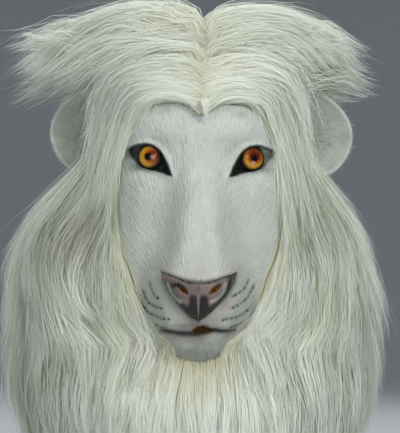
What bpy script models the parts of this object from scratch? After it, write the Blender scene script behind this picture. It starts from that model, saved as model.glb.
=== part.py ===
"""White lion mask for costume and stage wear: a latex face in a hollow fur hood.

Metres, +Z up. The face looks along -Y and the viewer's right is +X. The origin is inside the top of
the hood, where it rests on the crown of the wearer's head. Sizes below are millimetres.
"""

import math
from collections import namedtuple

import bmesh
import bpy
from mathutils import Matrix, Vector

MM = 0.001
MERGE = 0.0001

HOOD_WALL = 2.5
LATEX_WALL = 2.5
EAR_WALL = 3.0

# Clearances: eyes and ears, the face's edge, and the fur above the hood's form, whose facets
# lie a little inside or outside it
FIT = 0.5
FACE_FIT = 1.5
FORM_OUT = 0.8
CROWN_SEAT = 1.2
BIB_SEAT = 0.5
SIDE_SEAT = 1.9
CHEEK_SEAT = 2.0
EDGE_CLEAR = 4.0
HAIRLINE_CLEAR = 1.5
BIB_CLEAR = 3.0
PARTING_GAP = 0.6

# The hood, as a dome over the brow and a bell below it, down to the hem of the shoulder cape
CROWN_TOP = 3.0
BROW = -90.0
DOME_POWER = 2.3
HEM = -385.0
Section = namedtuple("Section", "height half_width front back")
HOOD_SECTIONS = (
    Section(-90, 110, 114, 114),
    Section(-140, 113, 116, 112),
    Section(-200, 113, 114, 106),
    Section(-260, 114, 112, 102),
    Section(-310, 121, 113, 106),
    Section(-360, 132, 118, 116),
    Section(-385, 139, 121, 121),
    Section(-460, 158, 129, 136),
)
HOOD_ROWS_ABOVE = (0.5, -8.0, -21.0)
HOOD_ROWS_BESIDE = (-60, -85, -110, -140, -170, -200, -225, -250, -275, -295)
HOOD_ROWS_BELOW = (-336, -360, HEM)
HOOD_FRONT_SPANS = 4
HOOD_SIDE_SPANS = 11
WIDEN_BELOW = 0.2

# The outer form of the fur, measured round the same axis
MANE_SECTIONS = (
    Section(-36, 114, 118, 150),
    Section(-60, 122, 124, 158),
    Section(-90, 132, 130, 164),
    Section(-125, 160, 134, 170),
    Section(-160, 184, 138, 176),
    Section(-200, 198, 142, 180),
    Section(-250, 208, 146, 184),
    Section(-300, 212, 152, 186),
    Section(-350, 208, 158, 186),
    Section(-400, 190, 154, 174),
    Section(-450, 168, 142, 150),
    Section(-500, 158, 135, 140),
)

# The edge of the face, where the fur begins
FACE_TOP = -42.0
FACE_BOTTOM = -312.0
MUZZLE_HEIGHT = -245.0
HAIRLINE = -36.0
TUFT_DROP = 15.0
TUFT_WIDTH = 14.0
CHIN_EDGE = -326.0
Edge = namedtuple("Edge", "height half_width")
FACE_EDGE = (
    Edge(-42, 70),
    Edge(-60, 81),
    Edge(-90, 90),
    Edge(-130, 93),
    Edge(-170, 92),
    Edge(-200, 86),
    Edge(-225, 76),
    Edge(-245, 70),
    Edge(-270, 63),
    Edge(-290, 53),
    Edge(-305, 42),
    Edge(-312, 35),
)

# How far the face stands out from the hood's form: the bridge and nose, and the muzzle and chin
Relief = namedtuple("Relief", "height bridge bridge_half muzzle muzzle_half")
FACE_RELIEF = (
    Relief(-50, 0, 20, 0, 50),
    Relief(-85, 5, 22, 0, 50),
    Relief(-105, 11, 23, 0, 50),
    Relief(-130, 20, 24, 0, 50),
    Relief(-160, 32, 26, 1, 50),
    Relief(-185, 42, 28, 6, 50),
    Relief(-205, 43, 31, 17, 50),
    Relief(-222, 36, 34, 33, 50),
    Relief(-235, 28, 34, 45, 51),
    Relief(-250, 18, 28, 52, 51),
    Relief(-265, 10, 19, 53, 50),
    Relief(-278, 3, 12, 50, 47),
    Relief(-286, 0, 10, 43, 43),
    Relief(-294, 0, 10, 32, 38),
    Relief(-302, 0, 10, 34, 35),
    Relief(-311, 0, 10, 28, 32),
    Relief(-319, 0, 10, 14, 29),
    Relief(-326, 0, 10, 0, 27),
)
BRIDGE_SOFT = 11.0
MUZZLE_SOFT = 15.0
Swell = namedtuple("Swell", "name across height half_width half_height lift")
FACE_SWELLS = (
    Swell("brow", 46, -70, 24, 13, 8),
    Swell("brow crease", 24, -84, 8, 16, -4),
    Swell("cheekbone", 70, -134, 20, 26, 6),
    Swell("cheek hollow", 48, -178, 14, 24, -5),
    Swell("forehead groove", 0, -66, 7, 26, -3),
    Swell("upper lip", 22, -277, 14, 10, 3),
    Swell("lip split", 0, -284, 5, 9, -4),
    Swell("nose wing", 24, -243, 12, 10, 3),
    Swell("nose groove", 0, -252, 4, 18, -3),
)
FACE_ROWS = (
    -42, -52, -62, -72, -81, -90, -100, -110, -121, -133, -146, -160, -174, -187, -198,
    -208, -217, -226, -234, -242, -250, -258, -266, -274, -280, -286, -292, -298, -304, -312,
)
FACE_COLUMNS = (0, 0.08, 0.17, 0.26, 0.35, 0.44, 0.53, 0.62, 0.71, 0.81, 0.91, 1)
TOP_REACH = 50.0
BOTTOM_REACH = 26.0
EDGE_FROM = 0.84
EDGE_TOP = 12.0
EDGE_BELOW = 6.0

# Eyes, sight holes at their inner corners, nostrils and mouth
EYE_ACROSS = 57.0
EYE_HEIGHT = -97.0
EYE_DEPTH = -97.0
EYE_TURN = math.radians(20)
EYE_RADIUS = 14.0
EYE_DOME = 5.0
EYE_BACK = 5.0
EYE_STEPS = 24
EYE_RINGS = (0.3, 0.55, 0.78, 1.0)
HOLE_LENGTH = 50.0
SOCKET_FLAT = 15.0
SOCKET_REACH = 29.0
Hole = namedtuple("Hole", "name across height half_width half_height tilt front back")
HOLES = (
    Hole("sight_hole", 38, -113, 6.0, 3.6, 38, -150, -80),
    Hole("nostril", 17.5, -244, 6.5, 4.2, -22, -215, -150),
    Hole("mouth", 0, -289.5, 23, 3.6, 0, -185, -120),
)
HOLE_SIDES = 14

# Ears
EAR_ACROSS = 124.0
EAR_DEPTH = 6.0
EAR_HEIGHT = -60.0
EAR_RADIUS = 50.0
EAR_CUP = 25.0
EAR_TURN = math.radians(18)
EAR_RINGS = (0.3, 0.55, 0.78, 0.92, 1.0)
EAR_SEGMENTS = 20
EAR_OVAL = 0.05
EAR_TILT = 0.8
EAR_CURVE = 2.4
EAR_POCKET = 56.0
POCKET_FRONT = 4.0
POCKET_BEHIND = 3.0

# Locks of fur: each node's locks across, tiers along, relief and how far the tips hang
Locks = namedtuple("Locks", "across tiers relief tip")
CROWN_LOCKS = Locks(7, 3, 7.0, 16.0)
CHEEK_LOCKS = Locks(5, 4, 7.0, 26.0)
SIDE_LOCKS = Locks(6, 4, 8.0, 26.0)
BACK_LOCKS = Locks(8, 4, 8.0, 26.0)
BIB_LOCKS = Locks(6, 3, 7.0, 30.0)
STEPS_IN_A_LOCK = 2
STEPS_IN_A_TIER = (0.04, 0.5, 1.0)
HANG_WITHIN = 0.4
FUR_EDGE = 13.0
CLOSER_ABOVE = 1.4

# Shares along and across a hanging node between which the fur deepens from its edge
TOP_FULL_FROM = -0.12
TOP_FULL_AT = 0.14
FACE_FULL_FROM = -0.1
FACE_FULL_AT = 0.42

# The swept hair over the crown, seen from the front
CROWN_LINE = -36.5
SIDE_TOP = -38.5
CORNER_DROP = 6.0
SWEEP_FRONT = -102.0
SWEEP_BACK = 105.0
BACK_FUR = 24.0
BACK_FROM = 0.5
FRONT_FULL_AT = 0.34
BACK_FALLS_FROM = 0.7
TIP_DROOP = 0.6
CrownPoint = namedtuple("CrownPoint", "share across height")
CROWN_SWEEP = (
    CrownPoint(0.0, 4, 54),
    CrownPoint(0.2, 36, 72),
    CrownPoint(0.45, 84, 74),
    CrownPoint(0.7, 128, 58),
    CrownPoint(0.88, 162, 32),
    CrownPoint(1.0, 184, -2),
)

# Angles round the head, from the front, where the fur nodes meet
BIB_ANGLE = 24.0
CHEEK_ANGLE = 76.0
EAR_ANGLE = 96.0
SIDE_ANGLE = 128.0
CORNER_ANGLE = 46.0
NODE_GAP = 0.35
SLANT_GAP = 3.5
SIDE_SLANT = (-190.0, -112.0)
CHEEK_SLANT = (-150.0, -108.0)

FUR_END = -415.0
BIB_END = -425.0

LATEX_WHITE = (0.60, 0.63, 0.60, 1)
FUR_WHITE = (0.70, 0.73, 0.64, 1)
BACKING_CREAM = (0.62, 0.58, 0.45, 1)
EYE_AMBER = (0.45, 0.16, 0.02, 1)


def smooth(low, high, value):
    """0 at low, 1 at high, with a soft start and end."""
    share = min(1.0, max(0.0, (value - low) / (high - low)))
    return share * share * (3 - 2 * share)


def read(rows, key, column, value):
    """One column of a table at a value of its key, on a smooth curve through the rows."""
    keys = [getattr(row, key) for row in rows]
    sizes = [getattr(row, column) for row in rows]
    if keys[0] > keys[-1]:
        keys.reverse()
        sizes.reverse()
    value = min(keys[-1], max(keys[0], value))
    i = max(k for k in range(len(keys) - 1) if keys[k] <= value or k == 0)
    slopes = []
    for k in (i, i + 1):
        low = max(0, k - 1)
        high = min(len(keys) - 1, k + 1)
        slopes.append((sizes[high] - sizes[low]) / (keys[high] - keys[low]))
    span = keys[i + 1] - keys[i]
    t = (value - keys[i]) / span
    start = (1 + 2 * t) * (1 - t) ** 2 * sizes[i] + t * (1 - t) ** 2 * span * slopes[0]
    end = t * t * (3 - 2 * t) * sizes[i + 1] - t * t * (1 - t) * span * slopes[1]
    return start + end


def dome(height, out):
    """Share of the full width that the dome over the brow still has at this height."""
    rise = max(0.0, (height - BROW) / (CROWN_TOP - BROW + out))
    return max(0.0, 1 - rise**DOME_POWER) ** (1 / DOME_POWER)


def hood_sizes(height, out=0.0):
    """Half width, front depth and back depth of the hood's form, moved out by out."""
    share = dome(height, out)
    sizes = [read(HOOD_SECTIONS, "height", name, height) for name in ("half_width", "front", "back")]
    return [(size + out) * share for size in sizes]


def on_hood(angle, height, out=0.0):
    """A point of the hood's form at an angle in degrees from the front."""
    half_width, front, back = hood_sizes(height, out)
    turn = math.radians(angle)
    depth = front if math.cos(turn) > 0 else back
    return Vector((half_width * math.sin(turn), -depth * math.cos(turn), height))


def on_crown(x, y, out=0.0):
    """A point of the dome straight above x, y."""
    widest = HOOD_SECTIONS[0]
    share = math.hypot(x / (widest.half_width + out), y / (widest.front + out))
    rise = max(0.0, 1 - share**DOME_POWER) ** (1 / DOME_POWER)
    return Vector((x, y, BROW + (CROWN_TOP - BROW + out) * rise))


def hood_angle(x, height):
    """The angle from the front at which the hood's form is x wide."""
    return math.degrees(math.asin(min(1.0, x / hood_sizes(height)[0])))


def face_half_width(height):
    return read(FACE_EDGE, "height", "half_width", height)


def hairline(x):
    """Height of the face's upper edge: two arches with a tuft of hair between them."""
    tuft = TUFT_DROP * math.exp(-((x / TUFT_WIDTH) ** 2))
    return HAIRLINE - tuft - (HAIRLINE - FACE_TOP) * (x / FACE_EDGE[0].half_width) ** 4


def chin_edge(x):
    """Height of the face's lower edge, under the chin."""
    return CHIN_EDGE + (FACE_BOTTOM - CHIN_EDGE) * (x / FACE_EDGE[-1].half_width) ** 2


def lower_edge(x):
    """Height of the face's edge below the muzzle, out to the cheeks."""
    if x <= FACE_EDGE[-1].half_width:
        return chin_edge(x)
    low = FACE_BOTTOM
    high = MUZZLE_HEIGHT
    for _ in range(30):
        middle = (low + high) / 2
        if face_half_width(middle) < x:
            low = middle
        else:
            high = middle
    return low


def face_relief(x, height):
    """How far the face stands out from the hood's form."""
    bridge_half = read(FACE_RELIEF, "height", "bridge_half", height)
    muzzle_half = read(FACE_RELIEF, "height", "muzzle_half", height)
    bridge = 1 - smooth(bridge_half - BRIDGE_SOFT, bridge_half + BRIDGE_SOFT, x)
    muzzle = 1 - smooth(muzzle_half - MUZZLE_SOFT, muzzle_half + MUZZLE_SOFT, x)
    lift = bridge * read(FACE_RELIEF, "height", "bridge", height)
    lift += muzzle * read(FACE_RELIEF, "height", "muzzle", height)
    for swell in FACE_SWELLS:
        across = (x - swell.across) / swell.half_width
        up = (height - swell.height) / swell.half_height
        lift += swell.lift * math.exp(-across * across - up * up)
    return lift


def face_point(x, height, edge_share):
    """A point of the face's outer surface. edge_share is 0 at the edge and 1 inside it."""
    half_width, front, _ = hood_sizes(height)
    form = -front * math.sqrt(max(0.0, 1 - (x / half_width) ** 2))
    depth = form - face_relief(x, height) * edge_share
    socket = EYE_DEPTH + (x - EYE_ACROSS) * math.tan(EYE_TURN)
    from_eye = math.hypot(x - EYE_ACROSS, height - EYE_HEIGHT)
    flat = (1 - smooth(SOCKET_FLAT, SOCKET_REACH, from_eye)) * edge_share
    return Vector((x, depth + (socket - depth) * flat, height))


def add_mesh(name, bm, collection, material, hidden=False):
    """A mesh object from a bmesh in millimetres."""
    bm.transform(Matrix.Scale(MM, 4))
    mesh = bpy.data.meshes.new(name)
    bm.to_mesh(mesh)
    bm.free()
    thing = bpy.data.objects.new(name, mesh)
    collection.objects.link(thing)
    if hidden:
        thing.hide_render = True
        thing.display_type = "WIRE"
    else:
        mesh.shade_smooth()
        mesh.materials.append(material)
    return thing


def grid_faces(bm, grid, keep=None):
    """Faces between the rows of a grid of vertices, outward for rows down and columns to +X."""
    for i in range(len(grid) - 1):
        for j in range(len(grid[i]) - 1):
            if keep is not None and not keep(i, j):
                continue
            corners = (grid[i][j], grid[i + 1][j], grid[i + 1][j + 1], grid[i][j + 1])
            bm.faces.new(corners)


def mirrored(thing):
    mirror = thing.modifiers.new("Mirror", "MIRROR")
    mirror.use_axis = (True, False, False)
    mirror.merge_threshold = MERGE


def thickened(thing, wall):
    solidify = thing.modifiers.new("Solidify", "SOLIDIFY")
    solidify.thickness = wall * MM
    solidify.offset = -1


def cut(thing, cutter):
    boolean = thing.modifiers.new("Cut " + cutter.name, "BOOLEAN")
    boolean.operation = "DIFFERENCE"
    boolean.solver = "EXACT"
    boolean.object = cutter


def hood_rows(out, fit):
    """Rows of points down the hood's right half, from the crown to the hem."""
    corner = hood_angle(FACE_EDGE[0].half_width + fit, FACE_TOP)
    chin = hood_angle(FACE_EDGE[-1].half_width + fit, FACE_BOTTOM)
    heights = [*HOOD_ROWS_ABOVE, FACE_TOP, *HOOD_ROWS_BESIDE, FACE_BOTTOM, *HOOD_ROWS_BELOW]
    rows = []
    for height in heights:
        if height > FACE_TOP:
            edge = corner
        elif height < FACE_BOTTOM:
            edge = chin + (FACE_BOTTOM - height) * WIDEN_BELOW
        else:
            edge = hood_angle(face_half_width(height) + fit, height)
        row = []
        for j in range(HOOD_FRONT_SPANS + HOOD_SIDE_SPANS + 1):
            if j < HOOD_FRONT_SPANS:
                angle = edge * j / HOOD_FRONT_SPANS
            else:
                angle = edge + (180 - edge) * (j - HOOD_FRONT_SPANS) / HOOD_SIDE_SPANS
            level = height
            if j < HOOD_FRONT_SPANS:
                x = on_hood(angle, height).x
                if height == FACE_TOP:
                    level = hairline(x) + fit
                if height == FACE_BOTTOM:
                    level = chin_edge(x) - fit
            row.append(on_hood(angle, level, out))
        rows.append(row)
    return heights, rows


def set_on_plane(bm):
    """The middle of a half lies exactly on the plane of symmetry."""
    for vertex in bm.verts:
        if abs(vertex.co.x) < 0.01:
            vertex.co.x = 0.0


def make_hood(collection, material):
    heights, rows = hood_rows(0.0, FACE_FIT)
    bm = bmesh.new()
    pole = bm.verts.new((0, 0, CROWN_TOP))
    grid = [[bm.verts.new(point) for point in row] for row in rows]
    for j in range(len(grid[0]) - 1):
        bm.faces.new((pole, grid[0][j], grid[0][j + 1]))

    def keep(i, j):
        beside = heights[i] <= FACE_TOP and heights[i + 1] >= FACE_BOTTOM
        return not (beside and j < HOOD_FRONT_SPANS)

    grid_faces(bm, grid, keep)
    set_on_plane(bm)
    loose = [vertex for vertex in bm.verts if not vertex.link_faces]
    bmesh.ops.delete(bm, geom=loose, context="VERTS")
    hood = add_mesh("hood", bm, collection, material)
    mirrored(hood)
    thickened(hood, HOOD_WALL)
    return hood


def make_hood_form(collection):
    """The hood's whole form a little enlarged, closed at the hem, to trim what stands on it."""
    _, rows = hood_rows(FORM_OUT, 0.0)
    bm = bmesh.new()
    pole = bm.verts.new((0, 0, CROWN_TOP + FORM_OUT))
    grid = [[bm.verts.new(point) for point in row] for row in rows]
    for j in range(len(grid[0]) - 1):
        bm.faces.new((pole, grid[0][j], grid[0][j + 1]))
    grid_faces(bm, grid)
    middle = bm.verts.new((0, 0, HEM))
    for j in range(len(grid[-1]) - 1):
        bm.faces.new((middle, grid[-1][j + 1], grid[-1][j]))
    set_on_plane(bm)
    form = add_mesh("hood_form", bm, collection, None, hidden=True)
    mirrored(form)
    return form


def face_grid():
    """Rows of points over the face's right half."""
    rows = []
    for side_height in FACE_ROWS:
        from_top = FACE_TOP - side_height
        from_bottom = side_height - FACE_BOTTOM
        row = []
        for share in FACE_COLUMNS:
            x = share * face_half_width(side_height)
            height = side_height
            height += (hairline(x) - FACE_TOP) * (1 - smooth(0, TOP_REACH, from_top))
            if x < FACE_EDGE[-1].half_width or from_bottom < BOTTOM_REACH:
                drop = chin_edge(min(x, FACE_EDGE[-1].half_width)) - FACE_BOTTOM
                height += drop * (1 - smooth(0, BOTTOM_REACH, from_bottom))
            inside = 1 - smooth(EDGE_FROM, 1, share)
            inside *= smooth(0, EDGE_TOP, from_top) * smooth(0, EDGE_BELOW, from_bottom)
            row.append(face_point(x, height, inside))
        rows.append(row)
    return rows


def make_face_shell(collection, material):
    bm = bmesh.new()
    grid = [[bm.verts.new(point) for point in row] for row in face_grid()]
    grid_faces(bm, grid)
    set_on_plane(bm)
    face = add_mesh("face_shell", bm, collection, material)
    mirrored(face)
    thickened(face, LATEX_WALL)
    return face


def turned_to(side, turn):
    """Turns the -Y axis outward, to the side that it is on."""
    return Matrix.Rotation(side * turn, 4, "Z")


def eye_frame(side):
    """Where an eye sits: its own +Z points out of the face."""
    place = Matrix.Translation((side * EYE_ACROSS * MM, EYE_DEPTH * MM, EYE_HEIGHT * MM))
    return place @ turned_to(side, EYE_TURN) @ Matrix.Rotation(math.radians(90), 4, "X")


def make_eye(name, side, collection, material):
    """A domed button, turned round its own axis."""
    bm = bmesh.new()
    profile = [Vector((0, 0, EYE_DOME))]
    curve = (EYE_RADIUS**2 + EYE_DOME**2) / (2 * EYE_DOME)
    for share in EYE_RINGS:
        across = EYE_RADIUS * share
        profile.append(Vector((across, 0, math.sqrt(curve**2 - across**2) - curve + EYE_DOME)))
    profile.append(Vector((EYE_RADIUS, 0, -EYE_BACK)))
    profile.append(Vector((0, 0, -EYE_BACK)))
    points = [bm.verts.new(point) for point in reversed(profile)]
    for first, second in zip(points, points[1:]):
        bm.edges.new((first, second))
    eye = add_mesh(name, bm, collection, material)
    screw = eye.modifiers.new("Screw", "SCREW")
    screw.steps = EYE_STEPS
    screw.render_steps = EYE_STEPS
    screw.use_merge_vertices = True
    screw.merge_threshold = MERGE
    screw.use_normal_calculate = True
    eye.matrix_world = eye_frame(side)
    return eye


def make_eye_hole(name, side, collection):
    bm = bmesh.new()
    bmesh.ops.create_cone(
        bm,
        cap_ends=True,
        segments=EYE_STEPS,
        radius1=EYE_RADIUS + FIT,
        radius2=EYE_RADIUS + FIT,
        depth=HOLE_LENGTH,
    )
    bmesh.ops.rotate(bm, verts=bm.verts, matrix=Matrix.Rotation(math.pi / 2, 3, "Z"))
    hole = add_mesh(name, bm, collection, None, hidden=True)
    hole.matrix_world = eye_frame(side)
    return hole


def make_hole(hole, side, collection):
    """An oval cutter that runs from front to back."""
    bm = bmesh.new()
    length = hole.back - hole.front
    bmesh.ops.create_cone(bm, cap_ends=True, segments=HOLE_SIDES, radius1=1, radius2=1, depth=length)
    bm.transform(Matrix.Diagonal((hole.half_width, hole.half_height, 1, 1)))
    bm.transform(Matrix.Rotation(math.radians(side * hole.tilt), 4, "Z"))
    bm.transform(Matrix.Rotation(math.radians(90), 4, "X"))
    middle = (hole.front + hole.back) / 2
    bm.transform(Matrix.Translation((side * hole.across, middle, hole.height)))
    name = f"{hole.name}_{'right' if side > 0 else 'left'}"
    return add_mesh(name, bm, collection, None, hidden=True)


def ear_frame(side):
    """The middle of an ear's rim: its own +Z looks out of the cup."""
    place = Matrix.Translation((side * EAR_ACROSS, EAR_DEPTH, EAR_HEIGHT))
    return place @ turned_to(side, EAR_TURN) @ Matrix.Rotation(math.radians(90), 4, "X")


def make_ear(name, side, collection, material):
    """A round cup, deepest near its root, with a rim that rolls forward."""
    bm = bmesh.new()
    middle = bm.verts.new((0, 0, -EAR_CUP))
    rings = []
    for share in EAR_RINGS:
        ring = []
        for i in range(EAR_SEGMENTS):
            turn = 2 * math.pi * i / EAR_SEGMENTS
            radius = EAR_RADIUS * share * (1 + EAR_OVAL * math.cos(2 * turn + EAR_TILT * side))
            depth = -EAR_CUP * (1 - share**EAR_CURVE)
            ring.append(bm.verts.new((radius * math.cos(turn), radius * math.sin(turn), depth)))
        rings.append(ring)
    for i in range(EAR_SEGMENTS):
        following = (i + 1) % EAR_SEGMENTS
        bm.faces.new((middle, rings[0][i], rings[0][following]))
        for inner, outer in zip(rings, rings[1:]):
            bm.faces.new((inner[i], outer[i], outer[following], inner[following]))
    bm.transform(ear_frame(side))
    ear = add_mesh(name, bm, collection, material)
    thickened(ear, EAR_WALL)
    return ear


def make_ear_pocket(name, side, collection):
    """The room that the fur leaves round an ear."""
    bm = bmesh.new()
    depth = POCKET_FRONT + EAR_CUP + EAR_WALL + POCKET_BEHIND
    bmesh.ops.create_cone(
        bm, cap_ends=True, segments=EAR_SEGMENTS, radius1=EAR_POCKET, radius2=EAR_POCKET, depth=depth
    )
    bm.transform(Matrix.Translation((0, 0, POCKET_FRONT - depth / 2)))
    bm.transform(ear_frame(side))
    return add_mesh(name, bm, collection, None, hidden=True)


def lock_ridge(across, tier, locks):
    """0 between two locks and 1 along the middle of a lock; every other tier is set half a lock over."""
    phase = across * locks.across + 0.5 * (tier % 2)
    return 1 - abs(2 * (phase % 1) - 1)


def make_fur(name, inner, outer, locks, collection, material):
    """A closed body between a seat on the hood and an outer form that is worked into locks.

    inner and outer give a point for a share across the locks and a share along them. Each takes how
    far the lock's tip hangs, and outer also how far it is raised.
    """
    columns = [i / (locks.across * STEPS_IN_A_LOCK) for i in range(locks.across * STEPS_IN_A_LOCK + 1)]
    stations = [(0.0, 0, 0.0)]
    for tier in range(locks.tiers):
        for step in STEPS_IN_A_TIER:
            stations.append(((tier + step) / locks.tiers, tier, step))
    bm = bmesh.new()
    seats = []
    tops = []
    for along, tier, step in stations:
        seat_row = []
        top_row = []
        last = tier == locks.tiers - 1
        for across in columns:
            ridge = lock_ridge(across, tier, locks)
            first_of_tier = step == STEPS_IN_A_TIER[0]
            above = lock_ridge(across, tier - 1, locks) if tier and first_of_tier else ridge * step
            hang = locks.tip * (ridge * step if last else HANG_WITHIN * above)
            lift = locks.relief * ridge * step
            if along == 0.0:
                hang = 0.0
            seat_row.append(bm.verts.new(inner(across, along, hang if last else 0.0)))
            top_row.append(bm.verts.new(outer(across, along, hang, lift)))
        seats.append(seat_row)
        tops.append(top_row)
    grid_faces(bm, tops)
    grid_faces(bm, [row[::-1] for row in seats])
    rim = [tops[0], [row[-1] for row in tops], tops[-1][::-1], [row[0] for row in tops][::-1]]
    seat_rim = [seats[0], [row[-1] for row in seats], seats[-1][::-1], [row[0] for row in seats][::-1]]
    for top_side, seat_side in zip(rim, seat_rim):
        for i in range(len(top_side) - 1):
            bm.faces.new((top_side[i], top_side[i + 1], seat_side[i + 1], seat_side[i]))
    bmesh.ops.recalc_face_normals(bm, faces=bm.faces)
    return add_mesh(name, bm, collection, material)


def mirrored_point(point, side):
    return Vector((point.x * side, point.y, point.z))


def fur_depth(angle, height):
    """How deep the fur is on the hood, between its depths at the side and at the front or back."""
    turn = math.radians(angle)
    depth = "front" if math.cos(turn) > 0 else "back"
    half_width, front, back = hood_sizes(height)
    beside = read(MANE_SECTIONS, "height", "half_width", height) - half_width
    along = read(MANE_SECTIONS, "height", depth, height) - (front if depth == "front" else back)
    return beside * math.sin(turn) ** 2 + along * math.cos(turn) ** 2


def hanging_fur(name, side, seat, first, last, top, end, soft_edge, locks, collection, material):
    """Fur that falls from the hood between two angles. first and last give an angle at a height."""

    def place(across, along, hang):
        height = top(across) + (end - top(across)) * along**CLOSER_ABOVE
        angle = first(height) + (last(height) - first(height)) * across
        return angle, height - hang

    def inner(across, along, hang):
        angle, height = place(across, along, hang)
        return mirrored_point(on_hood(angle, height, seat), side)

    def outer(across, along, hang, lift):
        angle, height = place(across, along, hang)
        turn = math.radians(angle)
        full = smooth(TOP_FULL_FROM if soft_edge == "none" else 0, TOP_FULL_AT, along)
        if soft_edge == "first":
            full *= smooth(FACE_FULL_FROM, FACE_FULL_AT, across)
        depth = FUR_EDGE + (fur_depth(angle, height) + lift - FUR_EDGE) * full
        away = Vector((math.sin(turn), -math.cos(turn), 0)) * depth
        return mirrored_point(on_hood(angle, height, seat) + away, side)

    return make_fur(name, inner, outer, locks, collection, material)


def make_crown_fur(name, side, collection, material):
    """Hair swept from the centre parting, over the dome above the hairline and the ears."""

    def front(share):
        x = PARTING_GAP + (FACE_EDGE[0].half_width - PARTING_GAP) * share
        height = hairline(x) + HAIRLINE_CLEAR
        half_width, depth, _ = hood_sizes(height)
        return Vector((x, -depth * math.sqrt(1 - (x / half_width) ** 2)))

    def round_side(share):
        return on_hood(CORNER_ANGLE + (SIDE_ANGLE - CORNER_ANGLE) * share, CROWN_LINE).xy

    def round_back(share):
        return on_hood(180 - (180 - SIDE_ANGLE) * share, CROWN_LINE).xy

    def seat_plan(u, v):
        """A patch between the hairline, the side, the back and the parting."""
        start = front(0).y
        parting = Vector((PARTING_GAP, start + (round_back(0).y - start) * v))
        ends = (1 - v) * front(u) + v * round_back(u)
        sides = (1 - u) * parting + u * round_side(v)
        corners = (1 - v) * ((1 - u) * front(0) + u * front(1))
        corners = corners + v * ((1 - u) * round_back(0) + u * round_back(1))
        plan = ends + sides - corners
        return Vector((max(PARTING_GAP, plan.x), plan.y))

    def inner(v, u, hang):
        plan = seat_plan(u, v)
        return mirrored_point(on_crown(plan.x, plan.y, CROWN_SEAT), side)

    def outer(v, u, hang, lift):
        plan = seat_plan(u, v)
        seat = on_crown(plan.x, plan.y, CROWN_SEAT)
        away = (seat - Vector((0, 0, CROWN_LINE))).normalized()
        edge = seat + away * (FUR_EDGE + BACK_FUR * smooth(BACK_FROM, 1, v))
        sweep_x = read(CROWN_SWEEP, "share", "across", u) + hang * u
        sweep_z = read(CROWN_SWEEP, "share", "height", u) - TIP_DROOP * hang * u
        sweep_y = SWEEP_FRONT + (SWEEP_BACK - SWEEP_FRONT) * v
        form = Vector((sweep_x, sweep_y, sweep_z)) + away * lift
        full = smooth(0, FRONT_FULL_AT, v) * (1 - smooth(BACK_FALLS_FROM, 1.0, v))
        point = edge + (form - edge) * full
        if u == 0:
            point.x = PARTING_GAP
        return mirrored_point(point, side)

    return make_fur(name, inner, outer, CROWN_LOCKS, collection, material)


def make_mane(collection, cutters, material):
    """The fur, node by node round the head."""

    def cheek_front(height):
        edge = hood_angle(face_half_width(height) + EDGE_CLEAR, height) if height > FACE_BOTTOM else 0
        return max(edge, BIB_ANGLE) + NODE_GAP

    def ear_side(height):
        return CHEEK_ANGLE + (EAR_ANGLE - CHEEK_ANGLE) * smooth(*SIDE_SLANT, height)

    def cheek_back(height):
        below_ear = 1 - smooth(*CHEEK_SLANT, height)
        reach = max(0, ear_side(height) - CHEEK_ANGLE - SLANT_GAP) * below_ear
        return CHEEK_ANGLE - NODE_GAP + reach

    def bib_top(across):
        angle = BIB_ANGLE * (2 * across - 1)
        return lower_edge(abs(on_hood(angle, FACE_BOTTOM).x)) - BIB_CLEAR

    def low(across):
        return SIDE_TOP

    def low_at_corner(across):
        return SIDE_TOP - CORNER_DROP

    pieces = []
    for side, word in ((-1, "left"), (1, "right")):
        pocket = make_ear_pocket(f"ear_pocket_{word}", side, cutters)
        crown = make_crown_fur(f"mane_crown_{word}", side, collection, material)
        cheek = hanging_fur(
            f"mane_cheek_{word}", side, CHEEK_SEAT, cheek_front, cheek_back,
            low_at_corner, FUR_END, "first", CHEEK_LOCKS, collection, material,
        )
        flank = hanging_fur(
            f"mane_side_{word}", side, SIDE_SEAT, lambda height: ear_side(height) + NODE_GAP,
            lambda height: SIDE_ANGLE - NODE_GAP, low, FUR_END, "none", SIDE_LOCKS, collection, material,
        )
        for piece in (crown, cheek, flank):
            cut(piece, pocket)
            pieces.append(piece)
    pieces.append(
        hanging_fur(
            "mane_back", 1, SIDE_SEAT, lambda height: SIDE_ANGLE + NODE_GAP,
            lambda height: 360 - SIDE_ANGLE - NODE_GAP,
            low, FUR_END, "none", BACK_LOCKS, collection, material,
        )
    )
    pieces.append(
        hanging_fur(
            "mane_bib", 1, BIB_SEAT, lambda height: NODE_GAP - BIB_ANGLE,
            lambda height: BIB_ANGLE - NODE_GAP, bib_top, BIB_END, "top", BIB_LOCKS, collection, material,
        )
    )
    return pieces


def make_material(name, colour, roughness):
    material = bpy.data.materials.new(name)
    material.use_nodes = True
    shader = material.node_tree.nodes["Principled BSDF"]
    shader.inputs["Base Color"].default_value = colour
    shader.inputs["Roughness"].default_value = roughness
    shader.inputs["Metallic"].default_value = 0.0
    material.diffuse_color = colour
    return material


def new_collection(name):
    collection = bpy.data.collections.new(name)
    bpy.context.scene.collection.children.link(collection)
    return collection


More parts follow.
